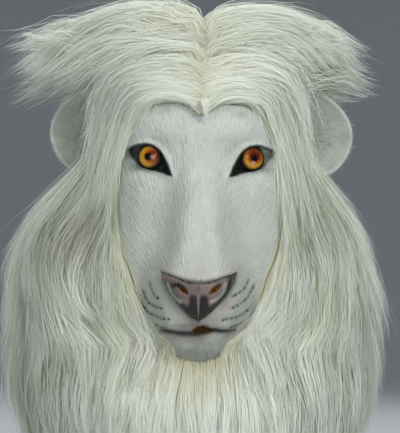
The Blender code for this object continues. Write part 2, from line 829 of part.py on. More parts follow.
def main():
    for thing in list(bpy.data.objects):
        bpy.data.objects.remove(thing, do_unlink=True)
    mask = new_collection("lion_mask")
    cutters = new_collection("cutters")
    latex = make_material("white latex", LATEX_WHITE, 0.55)
    backing = make_material("cream fur backing", BACKING_CREAM, 0.9)
    fur = make_material("white long fur", FUR_WHITE, 0.8)
    resin = make_material("amber resin", EYE_AMBER, 0.08)

    make_hood(mask, backing)
    hood_form = make_hood_form(cutters)
    face = make_face_shell(mask, latex)
    for side, word in ((-1, "left"), (1, "right")):
        make_eye(f"eye_{word}", side, mask, resin)
        cut(face, make_eye_hole(f"eye_hole_{word}", side, cutters))
        ear = make_ear(f"ear_{word}", side, mask, latex)
        cut(ear, hood_form)
    for hole in HOLES:
        for side in (-1, 1) if hole.across else (1,):
            cut(face, make_hole(hole, side, cutters))
    make_mane(mask, cutters, fur)


main()
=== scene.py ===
"""Looks of the white lion mask: flocked latex face, resin eyes, cupped ears and a long faux fur mane."""

import math

import bpy
import numpy as np
from mathutils import Matrix, Vector, kdtree


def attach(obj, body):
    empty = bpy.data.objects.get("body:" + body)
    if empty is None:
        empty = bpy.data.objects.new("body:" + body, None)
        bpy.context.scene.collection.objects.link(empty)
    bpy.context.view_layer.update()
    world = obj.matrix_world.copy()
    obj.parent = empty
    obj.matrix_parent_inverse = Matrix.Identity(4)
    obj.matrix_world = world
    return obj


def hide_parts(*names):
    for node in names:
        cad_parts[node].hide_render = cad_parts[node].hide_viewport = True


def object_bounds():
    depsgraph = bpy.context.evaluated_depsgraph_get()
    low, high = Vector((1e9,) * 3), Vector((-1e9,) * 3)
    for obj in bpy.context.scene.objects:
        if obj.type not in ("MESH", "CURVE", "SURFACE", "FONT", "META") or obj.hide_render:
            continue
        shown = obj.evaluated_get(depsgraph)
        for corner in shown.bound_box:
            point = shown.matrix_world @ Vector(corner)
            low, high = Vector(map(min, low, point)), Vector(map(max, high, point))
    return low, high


bl_info = {
    "name": "Lion mask looks",
    "version": (1, 0, 0),
    "blender": (4, 5, 0),
    "location": "3D View > Sidebar > Lion mask",
    "description": "Dresses the solids of a lion mask with its finished surfaces and fur",
    "category": "Object",
}

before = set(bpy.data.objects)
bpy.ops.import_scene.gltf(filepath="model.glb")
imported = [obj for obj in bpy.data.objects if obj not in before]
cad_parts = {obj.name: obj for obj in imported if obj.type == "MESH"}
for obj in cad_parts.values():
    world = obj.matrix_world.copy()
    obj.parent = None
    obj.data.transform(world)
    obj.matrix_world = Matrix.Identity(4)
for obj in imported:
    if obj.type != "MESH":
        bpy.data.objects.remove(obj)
CAD_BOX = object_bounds()
BODY = "root"
MM = 0.001

# The solids' form, in millimetres
CROWN_TOP = 3.0
BROW = -90.0
DOME_POWER = 2.3
HEM = -385.0
# height, half width, front, back
HOOD_SECTIONS = (
    (-90, 110, 114, 114),
    (-140, 113, 116, 112),
    (-200, 113, 114, 106),
    (-260, 114, 112, 102),
    (-310, 121, 113, 106),
    (-360, 132, 118, 116),
    (-385, 139, 121, 121),
    (-460, 158, 129, 136),
)
MANE_SECTIONS = (
    (-36, 114, 118, 150),
    (-60, 122, 124, 158),
    (-90, 132, 130, 164),
    (-125, 160, 134, 170),
    (-160, 184, 138, 176),
    (-200, 198, 142, 180),
    (-250, 208, 146, 184),
    (-300, 212, 152, 186),
    (-350, 208, 158, 186),
    (-400, 190, 154, 174),
    (-450, 168, 142, 150),
    (-500, 158, 135, 140),
)
FACE_TOP = -42.0
FACE_BOTTOM = -312.0
HAIRLINE = -36.0
TUFT_DROP = 15.0
TUFT_WIDTH = 14.0
CHIN_EDGE = -326.0
# height, half width
FACE_EDGE = (
    (-42, 70), (-60, 81), (-90, 90), (-130, 93), (-170, 92), (-200, 86),
    (-225, 76), (-245, 70), (-270, 63), (-290, 53), (-305, 42), (-312, 35),
)
FACE_EDGE_TOP = 70.0
FACE_EDGE_LOW = 35.0
# height, bridge, bridge half width, muzzle, muzzle half width
FACE_RELIEF = (
    (-50, 0, 20, 0, 50),
    (-85, 5, 22, 0, 50),
    (-105, 11, 23, 0, 50),
    (-130, 20, 24, 0, 50),
    (-160, 32, 26, 1, 50),
    (-185, 42, 28, 6, 50),
    (-205, 43, 31, 17, 50),
    (-222, 36, 34, 33, 50),
    (-235, 28, 34, 45, 51),
    (-250, 18, 28, 52, 51),
    (-265, 10, 19, 53, 50),
    (-278, 3, 12, 50, 47),
    (-286, 0, 10, 43, 43),
    (-294, 0, 10, 32, 38),
    (-302, 0, 10, 34, 35),
    (-311, 0, 10, 28, 32),
    (-319, 0, 10, 14, 29),
    (-326, 0, 10, 0, 27),
)
BRIDGE_SOFT = 14.0
MUZZLE_SOFT = 15.0
# across, height, half width, half height, lift
FACE_SWELLS = (
    (46, -70, 24, 13, 8),
    (24, -84, 8, 16, -4),
    (70, -134, 20, 26, 6),
    (48, -178, 14, 24, -5),
    (0, -66, 7, 26, -3),
    (22, -277, 14, 10, 3),
    (0, -284, 5, 9, -4),
    (24, -243, 12, 10, 3),
    (0, -252, 4, 18, -3),
    (26, -50, 13, 8, 3.5),
    (58, -54, 13, 9, 3),
    (43, -44, 5, 8, -3),
    (43, -76, 3, 8, -1.5),
)
TOP_REACH = 50.0
BOTTOM_REACH = 26.0
EDGE_FROM = 0.84
EDGE_TOP = 12.0
EDGE_BELOW = 6.0
EYE = (57.0, -97.0, -97.0)  # across, depth, height
EYE_TURN = math.radians(20)
EYE_RADIUS = 14.0
EYE_DOME = 5.0
EYE_BACK = 5.0
SOCKET_FLAT = 15.0
SOCKET_REACH = 29.0
EAR = (124.0, 6.0, -60.0)
EAR_RADIUS = 50.0
EAR_CUP = 25.0
EAR_WALL = 3.0
EAR_TURN = math.radians(18)
EAR_OVAL = 0.05
EAR_TILT = 0.8
EAR_CURVE = 2.4
HOOD_WALL = 2.5
LATEX_WALL = 2.5
FUR_EDGE = 13.0
CLOSER_ABOVE = 1.4
CROWN_LINE = -36.5
SIDE_TOP = -38.5
SWEEP_FRONT = -102.0
SWEEP_BACK = 105.0
BACK_FUR = 24.0
# share of the way from the parting to the side, across, height
CROWN_SWEEP = (
    (0.0, 2, 68), (0.07, 14, 77), (0.2, 38, 84), (0.45, 86, 84), (0.7, 132, 69), (0.88, 166, 50),
    (1.0, 190, 28),
)
BIB_ANGLE = 24.0
CHEEK_ANGLE = 76.0
SIDE_ANGLE = 128.0
CORNER_ANGLE = 46.0
FUR_END = -415.0
PARTING_GAP = 0.6
SEAT = 2.0


def linear(hex_colour):
    """The linear RGBA of an sRGB hex value."""
    parts = [int(hex_colour[i : i + 2], 16) / 255 for i in (1, 3, 5)]
    return tuple(c / 12.92 if c <= 0.04045 else ((c + 0.055) / 1.055) ** 2.4 for c in parts) + (1.0,)


def colour_property(name, description, hex_colour):
    return bpy.props.FloatVectorProperty(
        name=name, description=description, subtype="COLOR", size=4, min=0, max=1, default=linear(hex_colour)
    )

def length_property(name, description, metres):
    return bpy.props.FloatProperty(
        name=name, description=description, default=metres, unit="LENGTH", subtype="DISTANCE"
    )


def angle_property(name, description, degrees):
    return bpy.props.FloatProperty(
        name=name, description=description, default=math.radians(degrees), unit="ROTATION", subtype="ANGLE"
    )


class FaceLooks(bpy.types.PropertyGroup):
    latex: colour_property("Latex", "White of the airbrushed face", "#C6CBC4")
    # painted shade: this colour darkens the face's hollows, creases, dents and stroke grooves, and tints
    # random blotches
    shade: colour_property("Shade", "Soft airbrushed shade in the hollows of the face", "#A9AEA6")
    blush: colour_property("Blush", "Pink tint at the corners of the nose", "#B79A96")
    black: colour_property("Eye paint", "Black gloss round the eyes", "#0B0908")
    # this grey is also painted shade under the lips and in the whisker grooves
    airbrush: colour_property("Airbrush", "Soft grey round the eyes and under the lips", "#5F625D")
    nose: colour_property("Nose", "Pink brown of the nose pad", "#7F716C")
    # grey paint and a painted highlight along the nostrils' rims
    wing_and_highlight: colour_property("Nose wings", "Light grey rims of the nostrils", "#A3A69F")
    # this colour is also painted shade in the pad's top crease and the left nostril's pit
    nose_dark: colour_property("Nose shade", "Dark grey of the nose's edges", "#262321")
    inside: colour_property("Bare latex", "Unpainted latex in the nostrils and the mouth", "#6E4715")
    hem: colour_property("Hem", "Cream glue line where the fur meets the face", "#D5D2AE")
    marks: colour_property("Whisker marks", "Painted dashes on the muzzle", "#4A4B44")


class EyeLooks(bpy.types.PropertyGroup):
    amber: colour_property("Amber", "Outer colour of the iris", "#C7951F")
    orange: colour_property("Orange", "Middle colour of the iris", "#9E4A10")
    rust: colour_property("Rust", "Inner colour of the iris", "#450E07")
    # painted highlight: the soft pale pink spot beside the pupil
    fleck_and_highlight: colour_property("Fleck", "Pale pink fleck beside the pupil", "#C98F7C")
    limbus: colour_property("Rim", "Dark ring round the iris", "#1C1206")
    pupil: length_property("Pupil", "Radius of the pupil", 0.0034)
    iris: length_property("Iris", "Radius of the iris", 0.0125)


class EarLooks(bpy.types.PropertyGroup):
    flock: colour_property("Flock", "Short pile on the ears", "#C3C8C0")
    depth: colour_property("Cup", "Shade in the depth of the cup", "#8F958D")
    fuzz_length: length_property("Fuzz", "Length of the short hairs", 0.007)
    fuzz_density: bpy.props.FloatProperty(
        name="Fuzz density", description="Hairs on a square metre", default=260000.0, min=0
    )


class FurLooks(bpy.types.PropertyGroup):
    tip: colour_property("Tips", "White of the outer hair", "#F8FBF4")
    # this cream is also painted shade on the strands that lie deep in the fur
    root: colour_property("Roots", "Cream in the depth of the fur", "#DEDCBC")
    shade: colour_property("Locks", "Green grey of the darker locks", "#E6EBD9")
    backing: colour_property("Backing", "Knitted backing of the hood", "#DCD9C2")
    width: length_property("Strand", "Width of a strand near its root", 0.00082)
    amount: bpy.props.FloatProperty(
        name="Amount", description="Share of the full number of strands", default=1.0
    )
    seed: bpy.props.IntProperty(name="Seed", description="Seed of everything random in the fur", default=7)


class StageLooks(bpy.types.PropertyGroup):
    floor: colour_property("Floor", "Plain pale floor and wall", "#AEB3B6")
    distance: length_property("Camera distance", "From the eyes to the camera", 2.4)
    view_width: length_property("View width", "Width that the picture shows at the eyes", 0.44)
    tilt: angle_property("Tilt", "How far the camera looks up", 2.5)
    roll: angle_property("Roll", "Turn of the picture", 1.0)
    light: bpy.props.FloatProperty(name="Light", description="Share of the full studio light", default=1.0)


def smooth(low, high, value):
    """0 at low, 1 at high, with a soft start and end."""
    share = np.clip((np.asarray(value, float) - low) / (high - low), 0, 1)
    return share * share * (3 - 2 * share)


def ridge(distance, width):
    """1 at no distance, fading out softly over a width."""
    return np.exp(-((distance / width) ** 2))


def spot(x, height, across, up, half, tall):
    """1 at a place, fading out softly over a half width and a half height."""
    return np.exp(-(((x - across) / half) ** 2) - ((height - up) / tall) ** 2)


class Column:
    """One column of a table, read on a smooth curve through its rows."""

    def __init__(self, rows, column):
        pairs = sorted((row[0], row[column]) for row in rows)
        self.keys = np.array([pair[0] for pair in pairs], float)
        self.sizes = np.array([pair[1] for pair in pairs], float)
        last = len(pairs) - 1
        low = np.maximum(np.arange(last + 1) - 1, 0)
        high = np.minimum(np.arange(last + 1) + 1, last)
        self.slopes = (self.sizes[high] - self.sizes[low]) / (self.keys[high] - self.keys[low])

    def __call__(self, value):
        value = np.clip(value, self.keys[0], self.keys[-1])
        i = np.clip(np.searchsorted(self.keys, value, side="right") - 1, 0, len(self.keys) - 2)
        span = self.keys[i + 1] - self.keys[i]
        t = (value - self.keys[i]) / span
        start = (1 + 2 * t) * (1 - t) ** 2 * self.sizes[i] + t * (1 - t) ** 2 * span * self.slopes[i]
        end = t * t * (3 - 2 * t) * self.sizes[i + 1] - t * t * (1 - t) * span * self.slopes[i + 1]
        return start + end


HOOD = [Column(HOOD_SECTIONS, k) for k in (1, 2, 3)]
MANE = [Column(MANE_SECTIONS, k) for k in (1, 2, 3)]
EDGE = Column(FACE_EDGE, 1)
RELIEF = [Column(FACE_RELIEF, k) for k in (1, 2, 3, 4)]
SWEEP_ACROSS = Column(CROWN_SWEEP, 1)
SWEEP_HEIGHT = Column(CROWN_SWEEP, 2)


def dome(height, out):
    rise = np.maximum(0, (height - BROW) / (CROWN_TOP - BROW + out))
    return np.maximum(0, 1 - rise**DOME_POWER) ** (1 / DOME_POWER)


def hood_sizes(height, out=0.0):
    share = dome(height, out)
    return [(column(height) + out) * share for column in HOOD]


def on_hood(turn, height, out=0.0):
    """Points of the hood's form at an angle in radians from the front."""
    half_width, front, back = hood_sizes(height, out)
    depth = np.where(np.cos(turn) > 0, front, back)
    return np.stack([half_width * np.sin(turn), -depth * np.cos(turn), height + 0 * turn], axis=-1)


def on_crown(x, y, out=0.0):
    """Points of the dome straight above x, y."""
    share = np.hypot(x / (HOOD_SECTIONS[0][1] + out), y / (HOOD_SECTIONS[0][2] + out))
    rise = np.maximum(0, 1 - share**DOME_POWER) ** (1 / DOME_POWER)
    return np.stack([x, y, BROW + (CROWN_TOP - BROW + out) * rise], axis=-1)


def hood_angle(x, height):
    return np.arcsin(np.minimum(1, x / hood_sizes(height)[0]))


def hairline(x):
    tuft = TUFT_DROP * ridge(x, TUFT_WIDTH)
    return HAIRLINE - tuft - (HAIRLINE - FACE_TOP) * (x / FACE_EDGE_TOP) ** 4


def chin_edge(x):
    return CHIN_EDGE + (FACE_BOTTOM - CHIN_EDGE) * (x / FACE_EDGE_LOW) ** 2


def lower_edge(x):
    """The height of the face's lower edge."""
    beside = np.interp(x, (35, 42, 53, 63, 70, 76), (-312, -305, -290, -270, -245, -225))
    return np.where(x <= FACE_EDGE_LOW, chin_edge(x), beside)


def face_depth(x, height, edge_share):
    """How far forward the face stands, as its solid does."""
    across = np.abs(x)
    half_width, front, _ = hood_sizes(height)
    form = -front * np.sqrt(np.maximum(0, 1 - (across / half_width) ** 2))
    bridge = 1 - smooth(-BRIDGE_SOFT, BRIDGE_SOFT, across - RELIEF[1](height))
    muzzle = 1 - smooth(-MUZZLE_SOFT, MUZZLE_SOFT, across - RELIEF[3](height))
    lift = bridge * RELIEF[0](height) + muzzle * RELIEF[2](height)
    for middle, up, half, tall, amount in FACE_SWELLS:
        lift = lift + amount * spot(across, height, middle, up, half, tall)
    depth = form - lift * edge_share
    socket = EYE[1] + (across - EYE[0]) * math.tan(EYE_TURN)
    from_eye = np.hypot(across - EYE[0], height - EYE[2])
    flat = (1 - smooth(SOCKET_FLAT, SOCKET_REACH, from_eye)) * edge_share
    return depth + (socket - depth) * flat


# Painted and carved lines of the face, as (across, height) on its right half
EYE_OUTLINE = (
    (80.5, -88.5), (80.5, -88.5), (75.5, -85.2), (68, -83.4), (60, -83.2), (52, -85.6), (45, -91.5),
    (39.5, -100.5), (35.5, -110), (32.5, -118.2), (32.5, -118.2), (37, -117.2), (43, -114.5), (50, -112.4),
    (58, -110.8), (66, -107.6), (73, -101), (78, -94),
)
NOSE_OUTLINE = (
    (0, -236.5), (11, -235.6), (21, -232), (31, -227.6), (41.5, -223.2), (41.5, -223.2), (39, -232),
    (35, -241), (29, -250.5), (21, -260), (13, -268), (6, -273.8), (0, -276),
)
NOSTRIL_OUTLINE = (
    (10.6, -247.4), (12, -243.6), (15.6, -239.8), (20.5, -237), (23.8, -237), (23.6, -240.6), (20.2, -244.8),
    (15.6, -248), (12, -249),
)
MOUTH_OUTLINE = (
    (-9.5, -288.6), (-9.5, -288.6), (-5, -284.6), (0, -281.4), (6, -280.6), (11, -282), (17, -285),
    (25, -287.2), (25, -287.2), (16, -288.4), (7, -289.6), (-2, -290),
)
# points, half width of the line, lift
CARVED_LINES = (
    (((0, -236.8), (11, -235.8), (21, -232.4), (31, -228), (41, -223.6)), 1.3, -2.0),
    (((0, -232.5), (11, -231.6), (21, -228.2), (31, -223.8), (40, -220)), 2.6, 1.4),
    (((35, -232), (33.4, -240), (29, -247.6), (22.5, -254.4), (14, -258), (8, -256.5)), 2.2, 2.2),
    (((25, -238), (27.5, -243), (24.5, -249.5), (17.5, -253.5), (11, -252.6)), 2.0, -1.2),
    (((40, -229), (36.4, -239.5), (30.2, -249.5), (22, -259.3), (13.4, -267.8), (5, -274.6), (0, -277)),
     1.4, -2.2),
    (((0, -242), (0, -276)), 1.3, -2.0),
    (((5.5, -254), (5, -270)), 3.4, 1.6),
    (((0, -276), (0, -282)), 1.4, -2.6),
    (((0, -294.6), (14, -294), (28, -291)), 3.6, 2.4),
    (((0, -308), (15, -307)), 10.0, 4.0),
    (((4, -277.5), (13, -280), (24, -281.6), (34, -280)), 3.2, 1.4),
    (((84, -86), (77, -80.5), (67, -77.6), (56, -77.6), (46, -82), (38, -91)), 2.4, -1.5),
    (((79, -98), (72, -107), (62, -113.5), (50, -117.5)), 2.4, -1.2),
)
# Rows of whisker dashes: left side of the photograph's face, then the right, as drawn on the muzzle
WHISKER_ROWS = (
    ((-54, -235.5), (-51, -244), (-47.5, -250), (-43.6, -253)),
    ((-61, -244.5), (-58, -252.8), (-51.4, -259.6), (-39, -264.2)),
    ((-60, -262), (-54.5, -268.4), (-46.8, -271.6), (-39, -274.6), (-31.6, -275.2)),
    ((-47, -281), (-40, -284), (-35, -284)),
    ((54, -231), (50, -240), (44, -245), (36.5, -250)),
    ((60.5, -237), (56.6, -244), (52.6, -251), (44, -258), (36, -262.6)),
    ((55.4, -262.6), (49.6, -267.4), (41.8, -271.4), (34, -273.6), (26.5, -275.2)),
    ((49.6, -277.6), (43.6, -280), (35.6, -283)),
)
NOSE_WINGS = (
    ((-33, -238), (-30, -246), (-25, -252.5), (-19.5, -257)),
    ((28.5, -236), (26.5, -244), (21.5, -250.5), (14, -255.5)),
)
LIP_LINE = (
    (-39, -287), (-30, -288.4), (-20, -290.4), (-10, -290.6), (0, -290.4), (8, -288.6), (16, -285.4),
    (24, -286.8), (32, -286.6), (39.5, -284.6),
)
# across, height, half width, half height, amount of pink on both sides of the face
PINK_SPOTS = (
    (40, -219, 8, 6, 0.5),
    (0, -224, 30, 7, 0.2),
    (30, -80, 14, 12, 0.18),
    (0, -275, 50, 34, 0.26),
)
FACE_COLUMNS = 136
FACE_ROWS = 208
# grid points nearer to an outline than SNAP are moved to SNAP_TO from it, in millimetres
SNAP = 0.95
SNAP_TO = 0.22
# times that the moulded form is averaged
SOFTENING = 26
# heights and widths of the carved detail, in millimetres
NOSE_RISE = 1.6
LID_RISE = 3.4
UPPER_LID_RISE = 1.6
LID_WIDTH = 4.2
EYE_INSET = 2.4
NOSTRIL_DEPTH = 9.0
MOUTH_DEPTH = 8.0
WHISKER_DENT = 1.1
WHISKER_WIDTH = 1.9
LIP_CUT = 3.4


def curve_through(points, closed, steps=8):
    """A smooth line through points; a point given twice is a corner."""
    given = np.array(points, float)
    count = len(given)
    found = []
    for i in range(count if closed else count - 1):
        if closed:
            p = [given[(i + k) % count] for k in (-1, 0, 1, 2)]
        else:
            p = [given[min(max(i + k, 0), count - 1)] for k in (-1, 0, 1, 2)]
        if np.allclose(p[1], p[2]):
            continue
        for t in np.arange(steps) / steps:
            found.append(
                0.5 * (2 * p[1] + (p[2] - p[0]) * t + (2 * p[0] - 5 * p[1] + 4 * p[2] - p[3]) * t * t
                       + (3 * p[1] - p[0] - 3 * p[2] + p[3]) * t**3)
            )
    if not closed:
        found.append(given[-1])
    return np.array(found)


def nearest_on(line, closed, x, height):
    """Distance from each point to a line, and the nearest place on it."""
    start = line
    end = np.roll(line, -1, axis=0)
    if not closed:
        start, end = line[:-1], line[1:]
    best = np.full(x.shape, 1e9)
    near_x = np.zeros_like(x)
    near_h = np.zeros_like(x)
    for a, b in zip(start, end):
        span = b - a
        length = max(1e-9, span @ span)
        t = np.clip(((x - a[0]) * span[0] + (height - a[1]) * span[1]) / length, 0, 1)
        px = a[0] + t * span[0]
        ph = a[1] + t * span[1]
        distance = np.hypot(x - px, height - ph)
        closer = distance < best
        best = np.where(closer, distance, best)
        near_x = np.where(closer, px, near_x)
        near_h = np.where(closer, ph, near_h)
    return best, near_x, near_h


def from_line(points, x, height):
    """Distance from each point to a smooth open line."""
    return nearest_on(curve_through(points, False), False, x, height)[0]


def signed_distance(outline, x, height):
    """Distance to a closed outline, below zero inside it, and the nearest place on it."""
    distance, near_x, near_h = nearest_on(outline, True, x, height)
    inside = np.zeros(x.shape, bool)
    for a, b in zip(outline, np.roll(outline, -1, axis=0)):
        crosses = (a[1] > height) != (b[1] > height)
        with np.errstate(divide="ignore", invalid="ignore"):
            at = a[0] + (height - a[1]) * (b[0] - a[0]) / (b[1] - a[1])
        inside ^= crosses & (x < at)
    return np.where(inside, -distance, distance), near_x, near_h


def snapped(outline, x, height, mirror):
    """Grid points near an outline moved close to it, so that its edge comes out clean."""
    sign = np.where(x < 0, -1.0, 1.0) if mirror else np.ones_like(x)
    distance, near_x, near_h = signed_distance(outline, x * sign, height)
    away = np.maximum(1e-6, np.abs(distance))
    step_x = (x * sign - near_x) / away
    step_h = (height - near_h) / away
    close = np.abs(distance) < SNAP
    x = np.where(close, (near_x + step_x * SNAP_TO) * sign, x)
    height = np.where(close, near_h + step_h * SNAP_TO, height)
    return x, height


def mirrored_outline(points):
    half = curve_through(points, False)
    return np.concatenate([half, (half * (-1, 1))[::-1][1:-1]])


def face_fields():
    """The face's grid with its carved detail, and the paint on each point."""
    eye = curve_through(EYE_OUTLINE, True)
    nostril = curve_through(NOSTRIL_OUTLINE, True)
    mouth = curve_through(MOUTH_OUTLINE, True)
    nose = mirrored_outline(NOSE_OUTLINE)
    level = np.linspace(0, 1, FACE_ROWS)
    # rows lie closer together over the eyes and from the nose down
    density = 1 + 0.55 * np.exp(-(((level - 0.22) / 0.09) ** 2)) + 0.75 * smooth(0.6, 0.7, level)
    level = np.cumsum(density)
    level = (level - level[0]) / (level[-1] - level[0])
    side_height = (FACE_TOP + (FACE_BOTTOM - FACE_TOP) * level)[:, None]
    share = np.linspace(-1, 1, FACE_COLUMNS)[None, :]
    x = share * EDGE(side_height)
    from_top = FACE_TOP - side_height
    from_bottom = side_height - FACE_BOTTOM
    height = side_height + (hairline(x) - FACE_TOP) * (1 - smooth(0, TOP_REACH, from_top))
    drop = chin_edge(np.minimum(np.abs(x), FACE_EDGE_LOW)) - FACE_BOTTOM
    height = height + drop * (1 - smooth(0, BOTTOM_REACH, from_bottom))
    inside = (1 - smooth(EDGE_FROM, 1, np.abs(share))) * smooth(0, EDGE_TOP, from_top)
    inside = inside * smooth(0, EDGE_BELOW, from_bottom)
    for outline, mirror in ((eye, True), (nostril, True), (mouth, False)):
        x, height = snapped(outline, x, height, mirror)
    across = np.abs(x)
    eye_d = signed_distance(eye, across, height)[0]
    nostril_d = signed_distance(nostril, across, height)[0]
    mouth_d = signed_distance(mouth, x, height)[0]
    nose_d = signed_distance(nose, x, height)[0]
    depth = face_depth(x, height, inside)
    # the moulded form has no sharp steps
    soft = depth
    for _ in range(SOFTENING):
        soft = np.pad(soft, 1, mode="edge")
        soft = (soft[:-2] + 2 * soft[1:-1] + soft[2:]) / 4
        soft = (soft[:, :-2] + 2 * soft[:, 1:-1] + soft[:, 2:]) / 4
    depth = depth + (soft - depth) * inside
    lift = np.zeros_like(depth)
    for points, width, amount in CARVED_LINES:
        lift += amount * ridge(from_line(points, across, height), width)
    # nose pad: a firm cushion that stands proud of the muzzle
    lift += NOSE_RISE * smooth(0.5, -3.0, nose_d)
    # lids: a rolled edge round each eye, thicker above it
    lid = LID_RISE + UPPER_LID_RISE * smooth(-106, -90, height)
    lift += np.where(eye_d >= 0, lid * ridge(np.maximum(0, eye_d - 0.8), LID_WIDTH), -EYE_INSET)
    # nostrils and mouth go in as pits
    lift -= NOSTRIL_DEPTH * smooth(0.3, -2.6, nostril_d)
    lift -= MOUTH_DEPTH * smooth(0.2, -2.2, mouth_d)
    for row in WHISKER_ROWS:
        lift -= WHISKER_DENT * ridge(from_line(row, x, height), WHISKER_WIDTH)
    lift -= LIP_CUT * ridge(from_line(LIP_LINE, x, height), 1.3)
    depth = depth - lift * inside
    return x, height, depth, share + 0 * x, eye_d, nostril_d, mouth_d, nose_d


def skin_depth(x, height):
    """How far forward the finished face stands anywhere on or beside it."""
    share = np.abs(x) / EDGE(height)
    inside = (1 - smooth(EDGE_FROM, 1, share)) * smooth(CHIN_EDGE - 1, CHIN_EDGE + 6, height)
    return face_depth(np.minimum(np.abs(x), 100), height, inside)


def new_mesh(name, points, loops, starts, smooth_faces=True):
    """A mesh object from points in millimetres.

    Loops hold the corners of all faces, and starts where each face begins among them.
    """
    mesh = bpy.data.meshes.new(name)
    mesh.vertices.add(len(points))
    mesh.vertices.foreach_set("co", (np.asarray(points, np.float32) * MM).ravel())
    mesh.loops.add(len(loops))
    mesh.loops.foreach_set("vertex_index", np.asarray(loops, np.int32))
    mesh.polygons.add(len(starts))
    mesh.polygons.foreach_set("loop_start", np.asarray(starts, np.int32))
    mesh.update(calc_edges=True)
    mesh.validate()
    if smooth_faces:
        mesh.shade_smooth()
    thing = bpy.data.objects.new(name, mesh)
    bpy.context.scene.collection.objects.link(thing)
    return thing


def grid_loops(rows, columns, keep=None, closed=False):
    """Corners of the quads of a grid of points, outward for rows down and columns to +X."""
    index = np.arange(rows * columns).reshape(rows, columns)
    if closed:
        index = np.concatenate([index, index[:, :1]], axis=1)
    corners = [index[:-1, :-1], index[1:, :-1], index[1:, 1:], index[:-1, 1:]]
    quads = np.stack(corners, axis=-1).reshape(-1, 4)
    if keep is not None:
        quads = quads[keep.ravel()]
    return quads.ravel(), np.arange(len(quads)) * 4


def with_faces(loops, starts, *rings):
    """The corners and starts of a mesh's faces, with one more face for each ring of points."""
    loops, starts = list(loops), list(starts)
    for ring in rings:
        starts.append(len(loops))
        loops += list(ring)
    return loops, starts


def set_colours(thing, name, values):
    """A colour attribute on the points, from an array with four columns."""
    layer = thing.data.color_attributes.new(name, "FLOAT_COLOR", "POINT")
    layer.data.foreach_set("color", np.ascontiguousarray(values, np.float32).ravel())


def set_vectors(thing, name, values):
    """A vector attribute on the points."""
    layer = thing.data.attributes.new(name, "FLOAT_VECTOR", "POINT")
    layer.data.foreach_set("vector", np.ascontiguousarray(values, np.float32).ravel())


def thicken(thing, millimetres):
    """A sheet given a wall behind it, as a plain mesh."""
    modifier = thing.modifiers.new("Wall", "SOLIDIFY")
    modifier.thickness = millimetres * MM
    modifier.offset = -1
    bpy.context.view_layer.update()
    done = bpy.data.meshes.new_from_object(thing.evaluated_get(bpy.context.evaluated_depsgraph_get()))
    thing.modifiers.clear()
    old = thing.data
    thing.data = done
    done.name = thing.name
    bpy.data.meshes.remove(old)


def finish_piece(thing, slot, *nodes):
    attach(thing, BODY)
    if nodes:
        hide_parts(*nodes)


def new_material(name):
    material = bpy.data.materials.new(name)
    material.use_nodes = True
    return material, material.node_tree.nodes["Principled BSDF"]


def set_inputs(node, inputs):
    """Sets a node's inputs to values, or links them from sockets."""
    for key, value in inputs.items():
        if isinstance(value, bpy.types.NodeSocket):
            node.id_data.links.new(value, node.inputs[key])
        else:
            node.inputs[key].default_value = value


def add_node(tree, kind, settings=None, inputs=None):
    """A node with its settings; inputs are values, or sockets to link from."""
    node = tree.nodes.new(kind)
    for key, value in (settings or {}).items():
        setattr(node, key, value)
    set_inputs(node, inputs or {})
    return node


def attribute(tree, name):
    return add_node(tree, "ShaderNodeAttribute", {"attribute_name": name}).outputs


def object_place(tree):
    return add_node(tree, "ShaderNodeTexCoord").outputs["Object"]


def colour_parts(tree, colour):
    return list(add_node(tree, "ShaderNodeSeparateColor", {}, {0: colour}).outputs)


def mixed(tree, share, low, high):
    """A colour between two, by a share."""
    node = add_node(
        tree, "ShaderNodeMix", {"data_type": "RGBA", "clamp_factor": True}, {0: share, 6: low, 7: high}
    )
    return node.outputs[2]


def ranged(tree, value, from_low, from_high, to_low=0.0, to_high=1.0):
    """A value moved from one range to another, held at its ends."""
    node = add_node(
        tree, "ShaderNodeMapRange", {"clamp": True},
        {0: value, 1: from_low, 2: from_high, 3: to_low, 4: to_high},
    )
    return node.outputs[0]


def math_of(tree, operation, first, second=0.0):
    return add_node(tree, "ShaderNodeMath", {"operation": operation}, {0: first, 1: second}).outputs[0]


def vector_of(tree, operation, *inputs):
    node = add_node(tree, "ShaderNodeVectorMath", {"operation": operation}, dict(enumerate(inputs)))
    return node.outputs


def noise(tree, where, scale, detail=3.0, roughness=0.5):
    inputs = {"Vector": where, "Scale": scale, "Detail": detail, "Roughness": roughness}
    return add_node(tree, "ShaderNodeTexNoise", {}, inputs).outputs[0]


def jittered(tree, value, texture, reach, low=0.3, high=0.7):
    """A value that a texture moves down and up by its reach."""
    return math_of(tree, "ADD", value, ranged(tree, texture, low, high, -reach, reach))


def bump(tree, height, distance, strength, normal=None):
    inputs = {"Height": height, "Distance": distance, "Strength": strength}
    if normal is not None:
        inputs["Normal"] = normal
    return add_node(tree, "ShaderNodeBump", {}, inputs).outputs[0]


